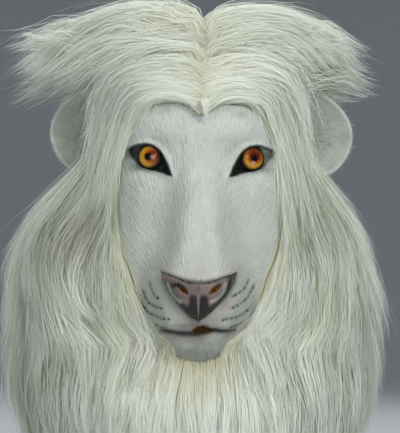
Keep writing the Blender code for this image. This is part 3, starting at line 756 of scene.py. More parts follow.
def flocked_latex(looks):
    """Slip-cast latex, airbrushed white.

    The skin is matt, with short combed strokes pressed in, and the paint is wet at the nose and the eyes.
    """
    material, shader = new_material("flocked airbrushed latex")
    tree = material.node_tree
    where = object_place(tree)
    combed = attribute(tree, "combed")["Vector"]
    tones, zones = attribute(tree, "tones"), attribute(tree, "zones")
    shade, grey, pink = colour_parts(tree, tones["Color"])
    pad, pad_dark, bare = colour_parts(tree, zones["Color"])
    black = zones["Alpha"]
    strokes = noise(tree, combed, 1.0, 3.0, 0.55)
    strokes_wide = noise(tree, combed, 0.45, 2.0, 0.5)
    streak = noise(tree, combed, 0.7, 3.0, 0.6)
    grain = noise(tree, where, 900.0, 2.0, 0.6)
    blotch = noise(tree, where, 38.0, 2.0, 0.5)
    base = mixed(tree, ranged(tree, blotch, 0.42, 0.62, 0.0, 0.3), looks.latex, looks.shade)
    # painted shade: darker in the grooves between the pressed strokes
    base = mixed(tree, ranged(tree, strokes, 0.32, 0.52, 0.6, 0.0), base, looks.shade)
    # painted shade in the face's hollows, creases and dents and along the foot of the muzzle
    base = mixed(tree, shade, base, looks.shade)
    base = mixed(tree, pink, base, looks.blush)
    # the airbrush catches on the strokes
    broken = jittered(tree, grey, strokes, 0.22, 0.35, 0.65)
    # the grey is airbrush paint, and painted shade under the lips and in the whisker grooves
    base = mixed(tree, ranged(tree, broken, 0.1, 0.95, 0.0, 0.9), base, looks.airbrush)
    base = mixed(tree, tones["Alpha"], base, looks.hem)
    # the nose pad's paint, with dark edges, painted shade in its top crease and the left nostril's pit, pale
    # wings that are partly a painted highlight, and a ragged outline
    nose = mixed(tree, ranged(tree, streak, 0.42, 0.7, 0.0, 0.55), looks.nose, looks.blush)
    dark = jittered(tree, pad_dark, blotch, 0.15)
    nose = mixed(tree, ranged(tree, dark, 0.15, 0.85), nose, looks.nose_dark)
    # pale wings: grey paint and a painted highlight along the nostrils' rims
    nose = mixed(tree, ranged(tree, shade, 0.2, 1.0, 0.0, 0.7), nose, looks.wing_and_highlight)
    base = mixed(tree, ranged(tree, jittered(tree, pad, grain, 0.3), 0.35, 0.6), base, nose)
    base = mixed(tree, bare, base, looks.inside)
    base = mixed(tree, black, base, looks.black)
    wet = math_of(tree, "MAXIMUM", pad, black)
    rough = ranged(tree, wet, 0.2, 0.8, 0.42, 0.24)
    rough = math_of(tree, "ADD", rough, ranged(tree, strokes, 0.35, 0.65, -0.1, 0.12))
    dry = ranged(tree, wet, 0.2, 0.7, 1.0, 0.15)
    pressed = math_of(tree, "ADD", strokes, math_of(tree, "MULTIPLY", strokes_wide, 0.8))
    normal = bump(tree, math_of(tree, "MULTIPLY", pressed, dry), 0.0019, 0.9)
    set_inputs(shader, {
        "Base Color": base, "Roughness": rough, "Specular IOR Level": 0.45,
        "Normal": bump(tree, grain, 0.0002, 0.5, normal),
    })
    return material


def airbrush_dabs(looks):
    """Airbrush paint dabbed on latex: matt, and speckled where it thins out."""
    material, shader = new_material("airbrush dabs on latex")
    tree = material.node_tree
    speckle = noise(tree, object_place(tree), 1400.0, 2.0, 0.6)
    broken = jittered(tree, attribute(tree, "tones")["Fac"], speckle, 0.2)
    set_inputs(shader, {
        "Base Color": mixed(tree, ranged(tree, broken, 0.05, 0.75), looks.latex, looks.marks),
        "Normal": bump(tree, speckle, 0.0002, 0.4), "Roughness": 0.5,
    })
    return material


def on_right(x):
    """0 on the left half of the face and 1 on the right."""
    return smooth(-4, 4, x)


def grey_paint(x, height, eye_d, nose_d):
    """Grey airbrush round the eyes and the nose and at the lips, with painted shade under the lip line and
    the lower lip, and along the whisker rows grey paint and painted shade in their grooves.
    """
    across = np.abs(x)
    right = on_right(x)
    outer_corner = 0.9 * spot(across, height, 80, -93, 6.5, 7) * (1 - 0.45 * right)
    under = 0.75 * spot(across, height, 70, -109, 12, 5) * (1 - 0.3 * right)
    rim = ridge(np.maximum(0, eye_d), 2.2) * (0.55 + 0.3 * smooth(-98, -108, height))
    rings = (0.5 + 0.5 * np.cos((eye_d + 0.8) * 2.6)) * smooth(0.6, -0.4, eye_d) * right
    rings = rings * smooth(63, 71, across)
    line = from_line(LIP_LINE, x, height)
    # the lip line's paint, and below it a wide soft band of painted shade
    lips = 1.1 * ridge(line, 1.8) + 0.85 * ridge(line, 4.8) * smooth(-283, -288, height)
    # painted shade under the lower lip
    chin = 0.1 * spot(across, height, 0, -297, 30, 4.5)
    nose_rim = ridge(np.maximum(0, nose_d - 0.3), 5.6 - 2.0 * right) * smooth(-224, -236, height)
    nose_rim = nose_rim * (0.75 - 0.4 * right * smooth(-250, -262, height))
    nose_top = ridge(np.maximum(0, nose_d), 2.0) * smooth(-240, -232, height)
    # grey paint and painted shade in the carved whisker grooves
    row = np.max([ridge(from_line(line, x, height), WHISKER_WIDTH) for line in WHISKER_ROWS], axis=0)
    grey = outer_corner + under + rim + lips + chin + nose_rim
    return np.clip(grey + 0.3 * nose_top + 0.8 * row + 0.5 * rings, 0, 1)


def shade_paint(x, height, nose_d):
    """Painted shade in the face's hollows, creases and dents and along the foot of the muzzle, and inside the
    nose pad the pale wings, partly a painted highlight along their rims.
    """
    across = np.abs(x)
    # painted shade: darker in the cheek hollows, beside the brows, in the dents at the hairline and along the
    # muzzle's foot
    hollow = spot(across, height, 42, -190, 9, 45)
    brow = spot(across, height, 30, -88, 7, 14)
    notch = spot(x, height, 44, -49, 7, 4) + 0.7 * spot(x, height, -41, -43, 5, 4)
    muzzle_foot = ridge(across - 62, 5) * smooth(-235, -250, height)
    shade = np.clip(0.2 * hollow + 0.25 * brow + 0.9 * notch + 0.3 * muzzle_foot, 0, 1)
    # the wings' light grey along their rims is paint and a painted highlight
    wing_and_highlight = np.max([ridge(from_line(line, x, height), 2.4) for line in NOSE_WINGS], axis=0)
    return np.where(nose_d < 0, wing_and_highlight, shade)


def pink_paint(x, height):
    pink = sum(amount * spot(np.abs(x), height, *place) for *place, amount in PINK_SPOTS)
    return np.clip(pink + 0.4 * spot(x, height, 29, -258, 6, 7), 0, 1)


def pad_dark_paint(x, height, nose_d):
    """Dark grey on the nose pad: between the nostrils, along its edges and at its corners, and painted shade
    in its top crease and beside the left nostril.
    """
    across = np.abs(x)
    centre = ridge(across - 5.5, 4.2) * smooth(-246, -254, height) * smooth(-274, -268, height)
    edge = ridge(np.minimum(0, nose_d + 0.5), 3.8) * smooth(-232, -242, height)
    edge = edge * smooth(14, 24, across + np.maximum(0, -256 - height) * 4)
    # painted shade along the carved crease at the pad's top edge
    crease_shade = 0.5 * ridge(from_line(CARVED_LINES[0][0], across, height), 0.9)
    corner = smooth(26, 38, across) * (0.25 + 0.6 * on_right(x))
    low = 0.34 + 0.35 * smooth(-256, -270, height)
    # painted shade at the outer end of the left nostril's pit
    beside_nostril_shade = 0.7 * spot(x, height, -26, -239, 4.5, 2.5)
    middle = 0.7 * ridge(across, 1.3) * smooth(-246, -252, height)
    return np.clip((centre + edge + crease_shade + corner + low + beside_nostril_shade) * (1 - middle), 0, 1)


def face_paint(x, height, share, eye_d, nostril_d, mouth_d, nose_d):
    """Two arrays of paint: shade, grey, pink and hem; nose pad, its dark, bare latex and black gloss."""
    right = on_right(x)
    hem = smooth(0.962, 0.98, np.abs(share)) * smooth(-60, -75, height)
    tones = [shade_paint(x, height, nose_d), grey_paint(x, height, eye_d, nose_d), pink_paint(x, height), hem]
    # the left nostril shows only the lower end of its hole; the rest of its pit is painted dark grey as
    # painted shade
    hole_end = right + (1 - right) * smooth(-240.6, -242.4, height)
    pit_shade = 0.7 * smooth(0.6, -0.6, nostril_d) * (1 - hole_end)
    pad_dark = np.maximum(pad_dark_paint(x, height, nose_d), pit_shade)
    bare = np.clip(smooth(-0.2, -1.2, nostril_d) * hole_end + smooth(0.1, -0.8, mouth_d), 0, 1)
    # the left eye is black out to its corner, the right one mostly at the lids and the tear corner
    black = smooth(1.1, -0.5, eye_d) * (1 - (0.1 + 0.5 * right) * smooth(63, 71, np.abs(x)))
    lips = ridge(from_line(LIP_LINE, x, height), 1.5 - 0.5 * right)
    lips = lips * smooth(-41, -36, x) * smooth(41, 36, x)
    black = np.maximum(black, 0.92 * lips * (1 - bare))
    zones = [smooth(0.9, -0.9, nose_d), pad_dark, bare, black]
    return np.stack(tones, axis=-1), np.stack(zones, axis=-1)


def along_line(line, length, place):
    """The point at a length along a line."""
    return np.array([np.interp(place, length, line[:, k]) for k in (0, 1)])


# strokes fan out from this height; the size of one, and of the dabs, in millimetres
STROKES_FROM = -300.0
STROKE_WIDTH = 1.6
STROKE_LENGTH = 9.0
DAB_SIDES = 12
DAB_PROUD = 0.3
DAB_EDGE_PROUD = 0.12


class MASK_OT_face(bpy.types.Operator):
    """Makes the latex face, with its lids, nose, lips and whisker marks"""

    bl_idname = "lion_mask.make_face"
    bl_label = "Face"

    def execute(self, context):
        looks = context.scene.lion_face
        x, height, depth, *paint = face_fields()
        hole = self.holes(x, height)
        corner_holes = hole[:-1, :-1] & hole[1:, :-1] & hole[1:, 1:] & hole[:-1, 1:]
        loops, starts = grid_loops(*x.shape, keep=~corner_holes)
        points = np.stack([x, depth, height], axis=-1)
        face = new_mesh("face_latex", points.reshape(-1, 3), loops, starts)
        tones, zones = face_paint(x, height, *paint)
        set_colours(face, "tones", tones)
        set_colours(face, "zones", zones)
        # strokes run up the bridge and fan out over the brow and the cheeks
        turn = np.arctan2(x, height - STROKES_FROM)
        radius = np.hypot(x, height - STROKES_FROM)
        combed = [turn * 150 / STROKE_WIDTH, radius / STROKE_LENGTH, 0 * x]
        set_vectors(face, "combed", np.stack(combed, axis=-1))
        thicken(face, LATEX_WALL)
        face.data.materials.append(flocked_latex(looks))
        finish_piece(face, "latex_face", "face_shell")
        self.make_marks(looks, x, height, depth)
        return {"FINISHED"}

    def holes(self, x, height):
        """Points inside the holes that go right through: sight holes, nostrils and mouth."""
        across = np.abs(x)
        sight = self.oval(across, height, 40.5, -110.5, 4.6, 2.6, 42)
        nostril = self.oval(across, height, 17.4, -243, 2.6, 1.3, 38)
        mouth = self.oval(x, height, 5.5, -286, 5.5, 1.3, -6)
        return (sight < 1) | (nostril < 1) | (mouth < 1)

    def oval(self, x, height, across, up, half_width, half_height, tilt):
        turn = math.radians(tilt)
        along = (x - across) * math.cos(turn) + (height - up) * math.sin(turn)
        beside = (height - up) * math.cos(turn) - (x - across) * math.sin(turn)
        return (along / half_width) ** 2 + (beside / half_height) ** 2

    def make_marks(self, looks, x, height, depth):
        """Painted dashes on the muzzle: thin dabs that lie on the latex."""
        rng = np.random.default_rng(5)
        tree = kdtree.KDTree(x.size)
        for i, (a, b) in enumerate(zip(x.ravel(), height.ravel())):
            tree.insert((a, b, 0), i)
        tree.balance()
        deep = depth.ravel()

        def on_face(a, b):
            found = tree.find_n((a, b, 0), 4)
            weights = np.array([1 / (0.05 + item[2]) for item in found])
            return float(np.sum(weights * deep[[item[1] for item in found]]) / weights.sum())

        points, loops, starts, tones = [], [], [], []
        for row in WHISKER_ROWS:
            line = curve_through(row, False, 40)
            length = np.concatenate([[0], np.cumsum(np.hypot(*np.diff(line, axis=0).T))])
            at = rng.uniform(0, 1.5)
            while at < length[-1]:
                at_end = at + 6 > length[-1] or at < 2
                dash = rng.uniform(2.8, 4.4) if at_end else rng.uniform(3.0, 7.0)
                half = rng.uniform(1.5, 2.0) if at_end else rng.uniform(1.0, 1.6)
                middle = min(length[-1], at + dash / 2)
                cx, ch = along_line(line, length, middle)
                dx, dh = along_line(line, length, middle + 1) - along_line(line, length, middle - 1)
                size = math.hypot(dx, dh)
                dx, dh = dx / size, dh / size
                first = len(points)
                strength = rng.uniform(0.55, 1.0)
                points.append((cx, on_face(cx, ch) - DAB_PROUD, ch))
                tones.append(strength)
                for ring, wider, proud, fade in (
                    (0.6, 1.0, DAB_PROUD, strength), (1.0, 1.25, DAB_EDGE_PROUD, 0.0),
                ):
                    for k in range(DAB_SIDES):
                        turn = 2 * math.pi * k / DAB_SIDES
                        along = math.cos(turn) * dash / 2 * ring
                        beside = math.sin(turn) * half * ring * wider
                        a = cx + dx * along - dh * beside
                        b = ch + dh * along + dx * beside
                        points.append((a, on_face(a, b) - proud, b))
                        tones.append(fade)
                for k in range(DAB_SIDES):
                    here, after = first + 1 + k, first + 1 + (k + 1) % DAB_SIDES
                    outer = (here, here + DAB_SIDES, after + DAB_SIDES, after)
                    loops, starts = with_faces(loops, starts, (first, here, after), outer)
                at += dash + rng.uniform(0.2, 2.0)
        marks = new_mesh("whisker_marks", np.array(points), loops, starts)
        set_colours(marks, "tones", np.array(tones)[:, None].repeat(4, axis=1))
        marks.data.materials.append(airbrush_dabs(looks))
        finish_piece(marks, "latex_face")


def turned_out(side, place, turn):
    """A piece's own frame: its +Z points out of the mask's front, turned to its side."""
    matrix = Matrix.Translation((side * place[0], place[1], place[2])) @ Matrix.Rotation(side * turn, 4, "Z")
    return np.array(matrix @ Matrix.Rotation(math.radians(90), 4, "X"))


def placed(matrix, points):
    return points @ matrix[:3, :3].T + matrix[:3, 3]


def cast_resin(looks, name, side):
    """Clear cast resin over a painted iris: wet highlights, fibres that darken to the rim, and a painted
    highlight beside the pupil.
    """
    material, shader = new_material(name)
    tree = material.node_tree
    left = side < 0
    flat = vector_of(tree, "MULTIPLY", attribute(tree, "iris")["Vector"], (1, 1, 0))[0]
    radius = vector_of(tree, "LENGTH", flat)["Value"]
    around = vector_of(tree, "NORMALIZE", flat)[0]
    fibres = noise(tree, vector_of(tree, "ADD", around, flat)[0], 8.0, 4.0, 0.65)
    fleck_and_highlight = noise(tree, flat, 4.0, 3.0, 0.6)
    # rust gathers round the pupil and on one side, amber on the other
    lean = vector_of(tree, "DOT_PRODUCT", flat, (0.62, 0.12, 0) if left else (0.1, 0.42, 0))["Value"]
    near_pupil = math_of(tree, "MULTIPLY", math_of(tree, "SUBTRACT", 0.52, radius), 0.9)
    rust = jittered(tree, math_of(tree, "ADD", lean, near_pupil), fibres, 0.24)
    rust = math_of(tree, "ADD", rust, 0.06 if left else 0.2)
    rim = looks.iris * 1000 / EYE_RADIUS
    pupil = looks.pupil * 1000 / EYE_RADIUS * (1.0 if left else 0.85)
    rough_edge = jittered(tree, radius, fibres, 0.03)
    # a painted highlight beside the pupil: a soft pale pink spot with a ragged edge
    from_highlight = vector_of(tree, "DISTANCE", flat, (0.41, -0.05, 0) if left else (-0.06, -0.4, 0))["Value"]
    highlight_edge = jittered(tree, from_highlight, fleck_and_highlight, 0.06)
    colour = looks.amber
    for share, over in (
        (ranged(tree, rust, -0.15, 0.2), looks.orange),
        (ranged(tree, rust, 0.16, 0.42), looks.rust),
        (ranged(tree, fleck_and_highlight, 0.55, 0.7, 0.0, 0.5), looks.rust),
        (ranged(tree, fibres, 0.45, 0.75, 0.0, 0.35), looks.limbus),
        (ranged(tree, rough_edge, rim - 0.24, rim - 0.02), looks.limbus),
        (ranged(tree, rough_edge, pupil + 0.09, pupil), linear("#050202")),
        # painted highlight beside the pupil
        (ranged(tree, highlight_edge, 0.25, 0.04, 0.0, 0.85), looks.fleck_and_highlight),
    ):
        colour = mixed(tree, share, colour, over)
    set_inputs(shader, {
        "Base Color": colour, "Roughness": 0.5, "Specular IOR Level": 0.1,
        "Coat Weight": 0.55, "Coat Roughness": 0.03, "Coat IOR": 1.48,
    })
    return material


class MASK_OT_eyes(bpy.types.Operator):
    """Makes the two domed resin eyes"""

    bl_idname = "lion_mask.make_eyes"
    bl_label = "Eyes"

    def execute(self, context):
        looks = context.scene.lion_eyes
        rings, segments = 22, 64
        for side, word in ((-1, "left"), (1, "right")):
            curve = (EYE_RADIUS**2 + EYE_DOME**2) / (2 * EYE_DOME)
            radii = np.linspace(0.02, 1, rings) * EYE_RADIUS
            tall = np.sqrt(curve**2 - radii**2) - curve + EYE_DOME
            radii = np.concatenate([radii, [EYE_RADIUS, EYE_RADIUS * 0.96]])
            tall = np.concatenate([tall, [-EYE_BACK + 0.6, -EYE_BACK]])
            turn = np.linspace(0, 2 * math.pi, segments, endpoint=False)
            flat = radii[:, None]
            ring_points = [flat * np.cos(turn), flat * np.sin(turn), tall[:, None] + 0 * turn]
            local = np.stack(ring_points, axis=-1).reshape(-1, 3)
            loops, starts = grid_loops(len(radii), segments, closed=True)
            last = (len(radii) - 1) * segments
            loops, starts = with_faces(
                loops, starts, range(segments), range(last + segments - 1, last - 1, -1)
            )
            eye = new_mesh(f"eye_dome_{word}", placed(turned_out(side, EYE, EYE_TURN), local), loops, starts)
            set_vectors(eye, "iris", local / EYE_RADIUS)
            eye.data.materials.append(cast_resin(looks, f"cast resin eye {word}", side))
            finish_piece(eye, "resin_eyes", f"eye_{word}")
        return {"FINISHED"}


def ear_points(side, rings, segments):
    """Points and depth shares over the inside of a cupped ear."""
    share = np.linspace(0.02, 1, rings)[:, None]
    turn = np.linspace(0, 2 * math.pi, segments, endpoint=False)[None, :]
    radius = EAR_RADIUS * share * (1 + EAR_OVAL * np.cos(2 * turn + EAR_TILT * side))
    radius = radius * (1 + 0.012 * np.sin(5 * turn + side) * share)
    depth = -EAR_CUP * (1 - share**EAR_CURVE) + 1.2 * ridge(share - 0.97, 0.05)
    depth = depth + 1.1 * np.sin(3 * turn + 0.6) * share * (1 - share) * 4
    return np.stack([radius * np.cos(turn), radius * np.sin(turn), depth], axis=-1), share + 0 * turn


def ear_flock(looks):
    """Latex ear flocked with short nylon pile: a soft matt skin, with painted shade that greys it into the
    cup.
    """
    material, shader = new_material("flocked ear latex")
    tree = material.node_tree
    where = object_place(tree)
    pile = noise(tree, where, 700.0, 3.0, 0.6)
    patch = noise(tree, where, 60.0, 3.0, 0.5)
    share = attribute(tree, "tones")["Fac"]
    # painted shade: darker towards the bottom of the cup
    colour = mixed(tree, ranged(tree, share, 0.25, 0.95), looks.depth, looks.flock)
    colour = mixed(tree, ranged(tree, patch, 0.4, 0.65, 0.0, 0.4), colour, looks.depth)
    set_inputs(shader, {
        "Base Color": colour, "Normal": bump(tree, pile, 0.0006, 0.7), "Roughness": 0.8,
        "Sheen Weight": 0.4, "Sheen Roughness": 0.4,
    })
    return material


def nylon_fuzz(looks):
    """Short nylon hairs, lighter here and there."""
    material, shader = new_material("nylon ear fuzz")
    tree = material.node_tree
    tone = noise(tree, object_place(tree), 300.0, 2.0, 0.6)
    colour = mixed(tree, ranged(tree, tone, 0.35, 0.6), looks.flock, linear("#E2E6DE"))
    set_inputs(shader, {"Base Color": colour, "Roughness": 0.6})
    return material


def fuzz_tree(material):
    """Short hairs set over a mesh, leaning along its own combing direction."""
    tree = bpy.data.node_groups.new("Ear fuzz", "GeometryNodeTree")
    face = tree.interface
    face.new_socket("Geometry", in_out="INPUT", socket_type="NodeSocketGeometry")
    for name, kind, value in (
        ("Density", "NodeSocketFloat", 1000.0),
        ("Length", "NodeSocketFloat", 0.006),
        ("Width", "NodeSocketFloat", 0.0005),
        ("Seed", "NodeSocketInt", 1),
    ):
        face.new_socket(name, in_out="INPUT", socket_type=kind).default_value = value
    face.new_socket("Geometry", in_out="OUTPUT", socket_type="NodeSocketGeometry")
    given = tree.nodes.new("NodeGroupInput").outputs
    comb = add_node(
        tree, "GeometryNodeInputNamedAttribute", {"data_type": "FLOAT_VECTOR"}, {"Name": "combed"}
    ).outputs[0]
    spread = add_node(
        tree, "GeometryNodeDistributePointsOnFaces", {},
        {"Mesh": given["Geometry"], "Density": given["Density"], "Seed": given["Seed"]},
    )
    hair = add_node(
        tree, "GeometryNodeMeshCone", {"fill_type": "NONE"},
        {"Vertices": 3, "Radius Top": 0.0, "Radius Bottom": given["Width"], "Depth": given["Length"]},
    )
    wander = add_node(
        tree, "FunctionNodeRandomValue", {"data_type": "FLOAT_VECTOR"},
        {0: (-0.35, -0.35, -0.35), 1: (0.35, 0.35, 0.35), "Seed": given["Seed"]},
    ).outputs[0]
    lean = vector_of(tree, "ADD", comb, wander)[0]
    turned = add_node(tree, "FunctionNodeAlignRotationToVector", {"axis": "Z"}, {"Vector": lean})
    sizes = add_node(
        tree, "FunctionNodeRandomValue", {"data_type": "FLOAT"}, {2: 0.5, 3: 1.3, "Seed": given["Seed"]}
    ).outputs[1]
    put = add_node(
        tree, "GeometryNodeInstanceOnPoints", {},
        {"Points": spread.outputs["Points"], "Instance": hair.outputs["Mesh"],
         "Rotation": turned.outputs[0], "Scale": sizes},
    )
    real = add_node(tree, "GeometryNodeRealizeInstances", {}, {"Geometry": put.outputs[0]})
    dressed = add_node(
        tree, "GeometryNodeSetMaterial", {}, {"Geometry": real.outputs[0], "Material": material}
    )
    out = tree.nodes.new("NodeGroupOutput")
    tree.links.new(dressed.outputs[0], out.inputs[0])
    return tree


def with_nodes(name, thing, tree, values):
    """A new object that holds what a node tree makes from thing."""
    maker = thing.copy()
    maker.data = thing.data.copy()
    bpy.context.scene.collection.objects.link(maker)
    modifier = maker.modifiers.new(tree.name, "NODES")
    modifier.node_group = tree
    for item in tree.interface.items_tree:
        if item.in_out == "INPUT" and item.name in values:
            modifier[item.identifier] = values[item.name]
    bpy.context.view_layer.update()
    mesh = bpy.data.meshes.new_from_object(maker.evaluated_get(bpy.context.evaluated_depsgraph_get()))
    mesh.name = name
    bpy.data.objects.remove(maker, do_unlink=True)
    made = bpy.data.objects.new(name, mesh)
    bpy.context.scene.collection.objects.link(made)
    return made


# short hairs lean away from a point this far behind the cup, in millimetres, and their radius in metres
FUZZ_RISE = 26
FUZZ_WIDTH = 0.00028


class MASK_OT_ears(bpy.types.Operator):
    """Makes the cupped ears and the short hairs on them"""

    bl_idname = "lion_mask.make_ears"
    bl_label = "Ears"

    def execute(self, context):
        looks = context.scene.lion_ears
        rings, segments = 26, 96
        flock = ear_flock(looks)
        tree = fuzz_tree(nylon_fuzz(looks))
        for side, word in ((-1, "left"), (1, "right")):
            local, share = ear_points(side, rings, segments)
            matrix = turned_out(side, EAR, EAR_TURN)
            points = placed(matrix, local.reshape(-1, 3))
            loops, starts = grid_loops(rings, segments, closed=True)
            loops, starts = with_faces(loops, starts, range(segments))
            ear = new_mesh(f"ear_cup_{word}", points, loops, starts)
            combed = local.reshape(-1, 3) * (1, 1, 0) + (0, 0, FUZZ_RISE)
            combed = combed @ matrix[:3, :3].T
            set_vectors(ear, "combed", combed / np.linalg.norm(combed, axis=1)[:, None])
            set_colours(ear, "tones", share.reshape(-1, 1).repeat(4, axis=1))
            ear.data.materials.append(flock)
            values = {
                "Density": looks.fuzz_density, "Length": looks.fuzz_length, "Width": FUZZ_WIDTH,
                "Seed": 11 + side,
            }
            fuzz = with_nodes(f"ear_fuzz_{word}", ear, tree, values)
            thicken(ear, EAR_WALL)
            finish_piece(ear, "latex_ears", f"ear_{word}")
            finish_piece(fuzz, "latex_ears")
        return {"FINISHED"}


def knit_backing(looks):
    """Weft-knit polyester backing: rows of loops about 1.4 mm apart, cream from the glue."""
    material, shader = new_material("knitted fur backing")
    tree = material.node_tree
    where = object_place(tree)
    rows = add_node(
        tree, "ShaderNodeTexWave", {"bands_direction": "Z"},
        {"Vector": where, "Scale": 114.0, "Distortion": 1.5, "Detail": 1.0, "Detail Scale": 3.0},
    ).outputs[1]
    patch = noise(tree, where, 30.0, 3.0, 0.5)
    colour = mixed(tree, ranged(tree, patch, 0.35, 0.65, 0.0, 0.35), looks.backing, looks.root)
    # painted shade in the troughs between the knit rows
    colour = mixed(tree, ranged(tree, rows, 0.2, 0.8, 0.25, 0.0), colour, linear("#8E8768"))
    set_inputs(shader, {
        "Base Color": colour, "Normal": bump(tree, rows, 0.0005, 0.5), "Roughness": 0.9,
    })
    return material


def outward(turn):
    """Level directions out of the hood, at angles from the front."""
    return np.stack([np.sin(turn), -np.cos(turn), 0 * turn], axis=-1)


# the gap between the backing's cut edge and the face, and how the cut opens below the chin
HOOD_FIT = 1.5
HOOD_HEM_OUT = 0.16
# columns of the grid over the face on one side, and round the rest of the hood
HOOD_FRONT = 14
HOOD_REST = 78


class MASK_OT_hood(bpy.types.Operator):
    """Makes the hood's knitted backing, open at the face and at the neck"""

    bl_idname = "lion_mask.make_hood"
    bl_label = "Hood"

    def execute(self, context):
        looks = context.scene.lion_fur
        above = [2.6, 1.5, -1, -5, -10, -16, -24, -33]
        beside = list(np.linspace(FACE_TOP, FACE_BOTTOM, 44))
        below = list(np.linspace(FACE_BOTTOM, HEM, 12))[1:]
        heights = np.array(above + beside + below, float)
        corner = float(hood_angle(FACE_EDGE_TOP + HOOD_FIT, np.array(FACE_TOP)))
        chin = float(hood_angle(FACE_EDGE_LOW + HOOD_FIT, np.array(FACE_BOTTOM)))
        edge = hood_angle(EDGE(heights) + HOOD_FIT, heights)
        edge = np.where(heights > FACE_TOP, corner, edge)
        hem_edge = chin + np.radians(FACE_BOTTOM - heights) * HOOD_HEM_OUT
        edge = np.where(heights < FACE_BOTTOM, hem_edge, edge)[:, None]
        front = np.linspace(0, 1, HOOD_FRONT + 1)[None, :-1] * edge
        rest = edge + (math.pi - edge) * np.linspace(0, 1, HOOD_REST // 2 + 1)[None, :]
        turn = np.concatenate([front, rest], axis=1)
        turn = np.concatenate([-turn[:, :0:-1], turn[:, :-1]], axis=1)
        level = heights[:, None] + 0 * turn
        x = on_hood(turn, level)[..., 0]
        inner = np.abs(turn) <= edge + 1e-6
        top_row, chin_row = len(above), len(above) + len(beside) - 1
        top_line = hairline(np.minimum(np.abs(x[top_row]), FACE_EDGE_TOP)) + HOOD_FIT
        level[top_row] = np.where(inner[top_row], top_line, level[top_row])
        chin_line = chin_edge(np.minimum(np.abs(x[chin_row]), FACE_EDGE_LOW)) - HOOD_FIT
        level[chin_row] = np.where(inner[chin_row], chin_line, level[chin_row])
        for row, reach in ((top_row - 1, 5.5), (top_row - 2, 3.0)):
            level[row] = np.where(inner[row], np.maximum(level[row], level[top_row] + reach), level[row])
        # soft folds that deepen towards the hem
        fold = smooth(-300, HEM, level) * smooth(0.5, 1.2, np.abs(turn))
        out = -(1.3 * (1 + np.sin(9 * turn + 0.7)) + 0.8 * (1 + np.sin(17 * turn + level / 14))) * fold / 2
        points = on_hood(turn, level) + outward(turn) * out[..., None]
        rows, columns = turn.shape
        front_face = inner & np.roll(inner, -1, axis=1)
        hole = np.zeros((rows - 1, columns), bool)
        hole[top_row:chin_row] = front_face[top_row:chin_row]
        loops, starts = grid_loops(rows, columns, keep=~hole, closed=True)
        loops, starts = with_faces(loops, starts, range(columns - 1, -1, -1))
        hood = new_mesh("hood_backing", points.reshape(-1, 3), loops, starts)
        thicken(hood, HOOD_WALL)
        hood.data.materials.append(knit_backing(looks))
        finish_piece(hood, "fur_backing", "hood")
        return {"FINISHED"}


def face_edge_angle(height):
    """The angle from the front at which the fur beside the face begins."""
    edge = hood_angle(EDGE(height) + 4.0, height)
    return np.where(height > FACE_BOTTOM, edge, 0.0)


def fur_depth(turn, height):
    """How deep the fur is on the hood."""
    sizes = hood_sizes(height)
    beside = MANE[0](height) - sizes[0]
    front = MANE[1](height) - sizes[1]
    back = MANE[2](height) - sizes[2]
    along = np.where(np.cos(turn) > 0, front, back)
    return beside * np.sin(turn) ** 2 + along * np.cos(turn) ** 2


def hanging_form(turn, height, layer, soft):
    """Points of the hanging fur: layer is 0 on the hood and 1 on the outer form."""
    down = np.clip((SIDE_TOP - height) / (SIDE_TOP - FUR_END), 0, 1.2) ** (1 / CLOSER_ABOVE)
    full = smooth(-0.12, 0.14, down)
    if soft == "cheek":
        first = np.maximum(face_edge_angle(height), math.radians(BIB_ANGLE))
        beside = smooth(-0.1, 0.42, (np.abs(turn) - first) / (math.radians(CHEEK_ANGLE) - first))
        full = full * (beside + (1 - beside) * smooth(-305, -372, height))
    if soft == "bib":
        full = smooth(-318, -372, height)
    depth = FUR_EDGE * (0.45 if soft == "bib" else 0.75)
    depth = depth + (fur_depth(turn, height) - depth) * full
    away = outward(turn)
    return on_hood(turn, height, SEAT) + away * (depth * layer)[..., None], away


def crown_plan(u, v):
    """Where the crown's fur sits: u runs from the parting to the side, v from the hairline to the back."""

    def front(share):
        x = PARTING_GAP + (FACE_EDGE_TOP - PARTING_GAP) * share
        half_width, depth, _ = hood_sizes(hairline(x) + 1.5)
        return np.stack([x, -depth * np.sqrt(1 - (x / half_width) ** 2)], axis=-1)

    def round_hood(first, last, share):
        turn = np.radians(first + (last - first) * share)
        return on_hood(turn, CROWN_LINE + 0 * share)[..., :2]

    def back(share):
        return round_hood(180, SIDE_ANGLE, share)

    zero, one = 0 * u, 0 * u + 1
    start = front(zero)[..., 1]
    parting = np.stack([PARTING_GAP + zero, start + (back(zero)[..., 1] - start) * v], axis=-1)
    u2, v2 = u[..., None], v[..., None]
    ends = (1 - v2) * front(u) + v2 * back(u)
    sides = (1 - u2) * parting + u2 * round_hood(CORNER_ANGLE, SIDE_ANGLE, v)
    front_corners = (1 - u2) * front(zero) + u2 * front(one)
    back_corners = (1 - u2) * back(zero) + u2 * back(one)
    plan = ends + sides - ((1 - v2) * front_corners + v2 * back_corners)
    plan[..., 0] = np.maximum(PARTING_GAP, plan[..., 0])
    return plan


def unit(vectors):
    return vectors / np.maximum(1e-6, np.linalg.norm(vectors, axis=-1))[..., None]


